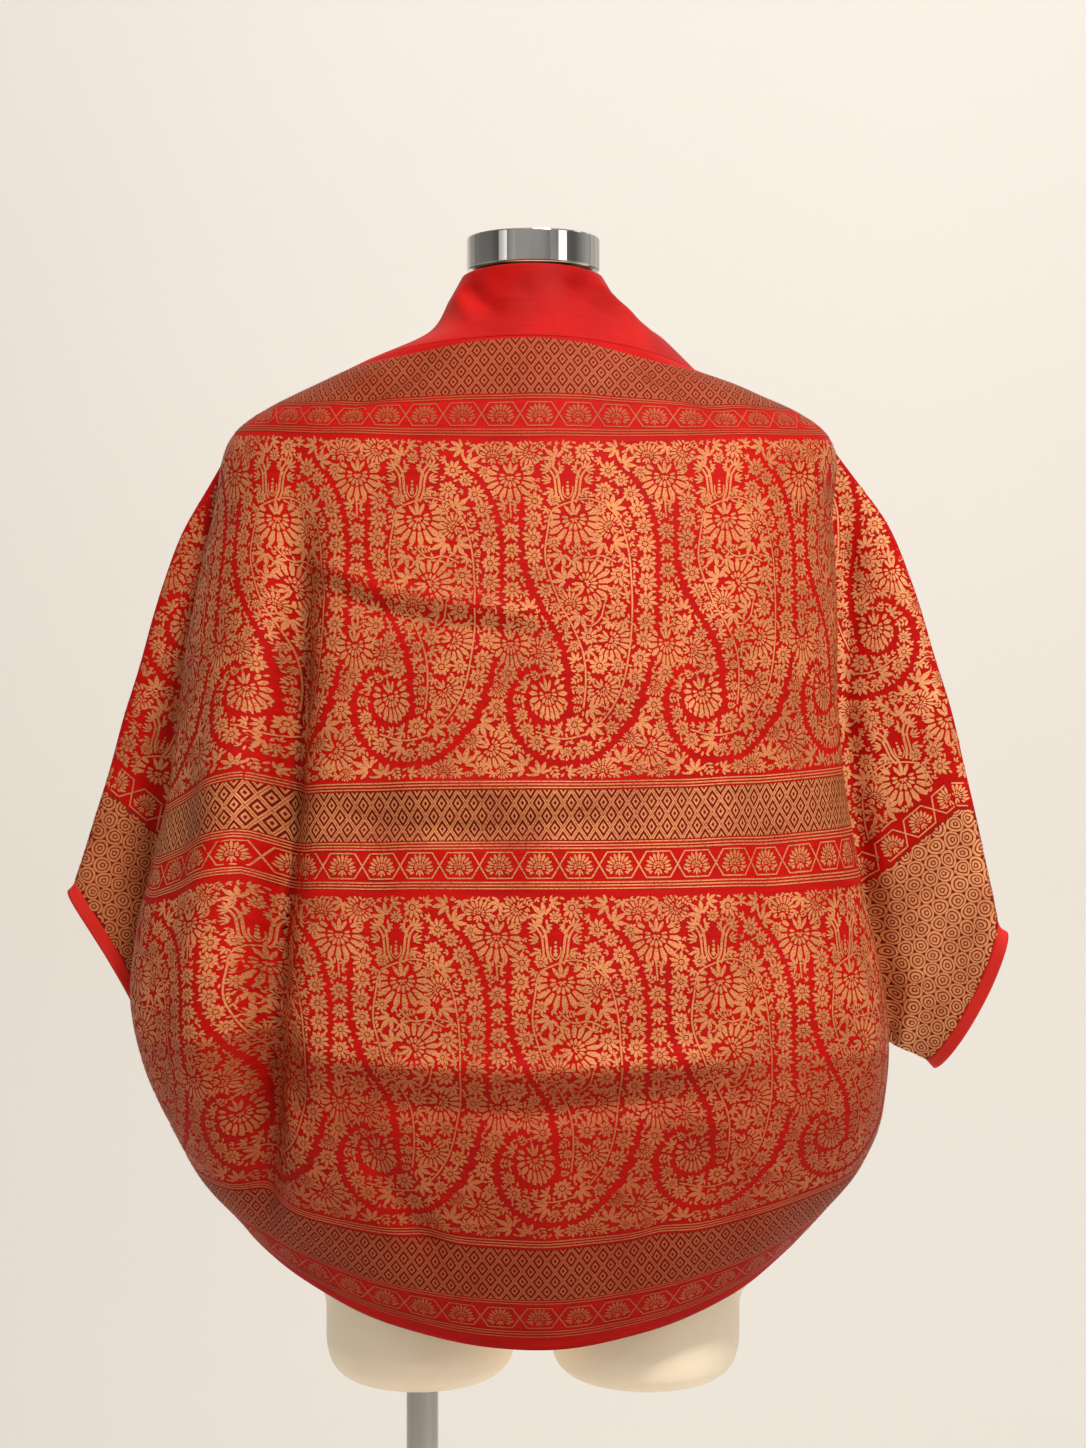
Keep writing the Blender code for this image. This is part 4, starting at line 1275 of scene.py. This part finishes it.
def build_cuff(name, sleeve):
    steps = normalized(sleeve[-1] - sleeve[-2])
    even = steps.mean(axis=0)
    away = square_to_edge(steps * CUFF_FLARE + even * (1 - CUFF_FLARE), sleeve[-1])
    reaches = [CUFF_WIDTH * k / (CUFF_ROWS - 1) - CUFF_LAP for k in range(CUFF_ROWS)]
    rows = np.array([sleeve[-1] + away * reach for reach in reaches])
    rows = np.concatenate([rows, rows[:, :1]], axis=1)
    steps = np.linalg.norm(np.diff(rows, axis=1), axis=2)
    across = running_sum(steps)
    down = np.repeat(np.linspace(0, CUFF_WIDTH, len(rows))[:, None], rows.shape[1], axis=1)
    normals = grid_normals(rows)
    centre = rows.mean(axis=1, keepdims=True)
    faces = grid_faces(len(rows), rows.shape[1])
    if np.mean(np.sum((rows - centre) * normals, axis=2)) < 0:
        faces = [face[::-1] for face in faces]
    flat = np.stack([across, down], axis=2)
    cuff = cloth_object("cuff_cloth_" + name, rows, flat, faces, [CUFF_SILK], CUFF_WALL)
    close_seam(cuff)
    return cuff


def build_collar():
    grid, down, _ = cloth_rows(COLLAR_SECTIONS)
    across = across_distances(grid)
    down_grid = np.repeat(down[:, None], grid.shape[1], axis=1)
    fade = np.clip((down[-1] - down_grid) / 12, 0, 1) * np.clip(down_grid / 8 + 0.3, 0, 1)
    offset = crease_offset(COLLAR_CREASES, across, down_grid) * fade
    grid = grid + grid_normals(grid) * offset[:, :, None]
    grid[-1] = grid[-1] + normalized(grid[-2] - grid[-1]) * SEAM_GAP
    flat = np.stack([across, down_grid], axis=2)
    faces = grid_faces(len(grid), grid.shape[1])
    return cloth_object("collar_cloth", grid, flat, faces, [COLLAR_SILK], COLLAR_WALL)


# The form, in millimetres: height, half width, depth to the back and depth to the front
FORM_RINGS = (
    (688, 150, 84, 74), (704, 174, 104, 92), (760, 178, 114, 99), (830, 176, 119, 102), (905, 169, 112, 102),
    (985, 157, 99, 97), (1055, 145, 89, 91), (1120, 139, 84, 88), (1185, 149, 90, 101), (1245, 163, 99, 120),
    (1300, 176, 106, 126), (1365, 190, 104, 104), (1405, 199, 99, 92), (1432, 199, 93, 82), (1452, 188, 86, 74),
    (1468, 165, 79, 68), (1483, 134, 72, 63), (1500, 98, 65, 59), (1518, 70, 59, 56), (1540, 56, 55, 54),
    (1572, 53.5, 53.5, 53.5),
)
THIGH_RINGS = ((0, 60, 78), (3, 68, 87), (11, 76, 95.5), (27, 80.5, 99.5), (110, 80, 96))
THIGH_X = 94.5
THIGH_Y = -6.0
THIGH_BOTTOM_Z = 640.0
FORM_SEGMENTS = 72
VOXEL = 0.0042


def loft(rings):
    count = len(rings[0])
    faces = []
    for r in range(len(rings) - 1):
        for c in range(count):
            a, b = r * count + c, r * count + (c + 1) % count
            faces.append((a, b, b + count, a + count))
    last = (len(rings) - 1) * count
    faces.append(tuple(range(count))[::-1])
    faces.append(tuple(range(last, last + count)))
    return faces


def build_form():
    """The torso and the two thigh ends as one smooth body."""
    angles = np.linspace(0, 2 * math.pi, FORM_SEGMENTS, endpoint=False)
    numbers = np.array(FORM_RINGS, float)
    heights = numbers[:, 0]
    samples = np.unique(np.concatenate([heights, np.arange(700, 1570, 7.0)]))
    torso = []
    for z, (half_width, back, front) in zip(samples, spline_rows(heights, numbers[:, 1:], samples)):
        depth = np.where(np.sin(angles) < 0, back, front)
        x, y = half_width * np.cos(angles), depth * np.sin(angles)
        torso.append(np.stack([x, y, np.full(len(angles), z)], axis=1))
    solids = [torso]
    for side in (-1, 1):
        rings = []
        for height, half_width, half_depth in THIGH_RINGS:
            x = side * THIGH_X + half_width * np.cos(angles)
            y = THIGH_Y + half_depth * np.sin(angles)
            rings.append(np.stack([x, y, np.full(len(angles), THIGH_BOTTOM_Z + height)], axis=1))
        solids.append(rings)
    points, faces = [], []
    for rings in solids:
        first = sum(len(p) for p in points)
        faces += [tuple(first + i for i in face) for face in loft(rings)]
        points.append(np.concatenate(rings))
    form = finish_mesh("form_shell", np.concatenate(points), faces, [shell_material()])
    remesh = form.modifiers.new("One body", "REMESH")
    remesh.mode = "VOXEL"
    remesh.voxel_size = VOXEL
    remesh.use_smooth_shade = True
    smooth = form.modifiers.new("Even skin", "SMOOTH")
    smooth.factor = 0.5
    smooth.iterations = 10
    return form


# The sweep, in millimetres
FLOOR_FRONT_Y = -5000.0
BEND_START_Y = 1700.0
BEND_RADIUS = 900.0
BEND_STEPS = 12
SWEEP_TOP_Z = 5000.0
SWEEP_HALF_WIDTH = 6000.0


def build_stage():
    """Floor and backdrop in one pale sweep."""
    profile = [(FLOOR_FRONT_Y, 0.0), (BEND_START_Y, 0.0)]
    for i in range(1, BEND_STEPS + 1):
        angle = math.pi / 2 * i / BEND_STEPS
        y = BEND_START_Y + BEND_RADIUS * math.sin(angle)
        profile.append((y, BEND_RADIUS - BEND_RADIUS * math.cos(angle)))
    profile.append((BEND_START_Y + BEND_RADIUS, SWEEP_TOP_Z))
    points, faces = [], []
    for y, z in profile:
        points += [(-SWEEP_HALF_WIDTH, y, z), (SWEEP_HALF_WIDTH, y, z)]
    for i in range(len(profile) - 1):
        faces.append((2 * i, 2 * i + 1, 2 * i + 3, 2 * i + 2))
    sweep = finish_mesh("studio_sweep", points, faces, [stage_material()])


# Lights: name, place and target in metres, size, power in watts and colour
DAYLIGHT = (1.0, 0.97, 0.93)
LIGHTS = (
    ("key", (0.9, -2.1, 3.9), (0, 0, 1.2), (0.6, 0.6), 118, DAYLIGHT),
    ("right strip", (2.2, -1.9, 1.6), (0, 0, 1.2), (0.5, 1.8), 13, DAYLIGHT),
    ("left strip", (-2.2, -1.9, 1.5), (0, 0, 1.1), (0.4, 1.8), 6, DAYLIGHT),
    ("sweep light", (0.6, 0.4, 3.9), (0.4, 2.5, 0.6), (5.0, 1.6), 38, (1.0, 0.98, 0.96)),
)
SURROUNDING_LIGHT = 0.26
CAMERA_PLACE = (0.0085, -2.295, 1.188)
LENS = 67.13
SENSOR_HEIGHT = 36


def add_light(name, location, target, size, power, color):
    light = bpy.data.lights.new(name, "AREA")
    light.shape = "RECTANGLE"
    light.size, light.size_y = size
    light.energy = power
    light.color = color
    obj = bpy.data.objects.new(name, light)
    obj.location = location
    obj.rotation_euler = (Vector(target) - Vector(location)).to_track_quat("-Z", "Y").to_euler()
    bpy.context.scene.collection.objects.link(obj)


def build_light_and_camera():
    world = bpy.context.scene.world or bpy.data.worlds.new("World")
    bpy.context.scene.world = world
    world.use_nodes = True
    background = world.node_tree.nodes["Background"]
    background.inputs[0].default_value = (*DAYLIGHT, 1.0)
    background.inputs[1].default_value = SURROUNDING_LIGHT
    for light in LIGHTS:
        add_light(*light)
    bpy.context.scene.view_settings.view_transform = "Standard"
    camera = bpy.data.cameras.new("photo camera")
    camera.sensor_fit = "VERTICAL"
    camera.sensor_height = SENSOR_HEIGHT
    camera.lens = LENS
    obj = bpy.data.objects.new("photo camera", camera)
    obj.location = CAMERA_PLACE
    obj.rotation_euler = (math.radians(90), 0, 0)
    bpy.context.scene.collection.objects.link(obj)
    bpy.context.scene.camera = obj


# Steel of each node: name, roughness, dark and light colour of its painted reflection stripes, and how many of
# them go round it
STEELS = {
    "neck_cap": ("cap_steel_polished", 0.16, (0.04, 0.035, 0.03), (1.0, 0.98, 0.94), 2.6),
    "pole": ("pole_steel_polished", 0.22, (0.12, 0.11, 0.10), (0.80, 0.78, 0.74), 1.9),
    "base_plate": ("base_steel_brushed", 0.34, (0.40, 0.39, 0.37), (0.62, 0.61, 0.58), 0.8),
}


def add_piece(piece, slot, *nodes):
    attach(piece, "root")
    if nodes:
        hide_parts(*nodes)


def main():
    body, chart, grid, outward, top, bottom, left, right = build_body()
    body_figures, unit = build_body_figures(chart)
    add_piece(body, "brocade", "body_panel")
    for piece in body_figures:
        add_piece(piece, "brocade")
    for name, side, rings, hole in (("left", -1, LEFT_SLEEVE, left), ("right", 1, RIGHT_SLEEVE, right)):
        sleeve, zari, rows = build_sleeve(name, side, rings, hole, grid, outward, top, bottom, unit)
        add_piece(sleeve, "brocade", "sleeve_" + name)
        add_piece(zari, "brocade")
        cuff = build_cuff(name, rows)
        add_piece(cuff, "cuff_silk", "cuff_" + name)
    collar = build_collar()
    add_piece(collar, "collar_silk", "collar")
    form = build_form()
    add_piece(form, "form_shell", "form_body")
    for node, steel in STEELS.items():
        material = steel_material(*steel)
        for material_slot in bpy.data.objects[node].material_slots:
            material_slot.material = material
    build_stage()
    build_light_and_camera()


main()
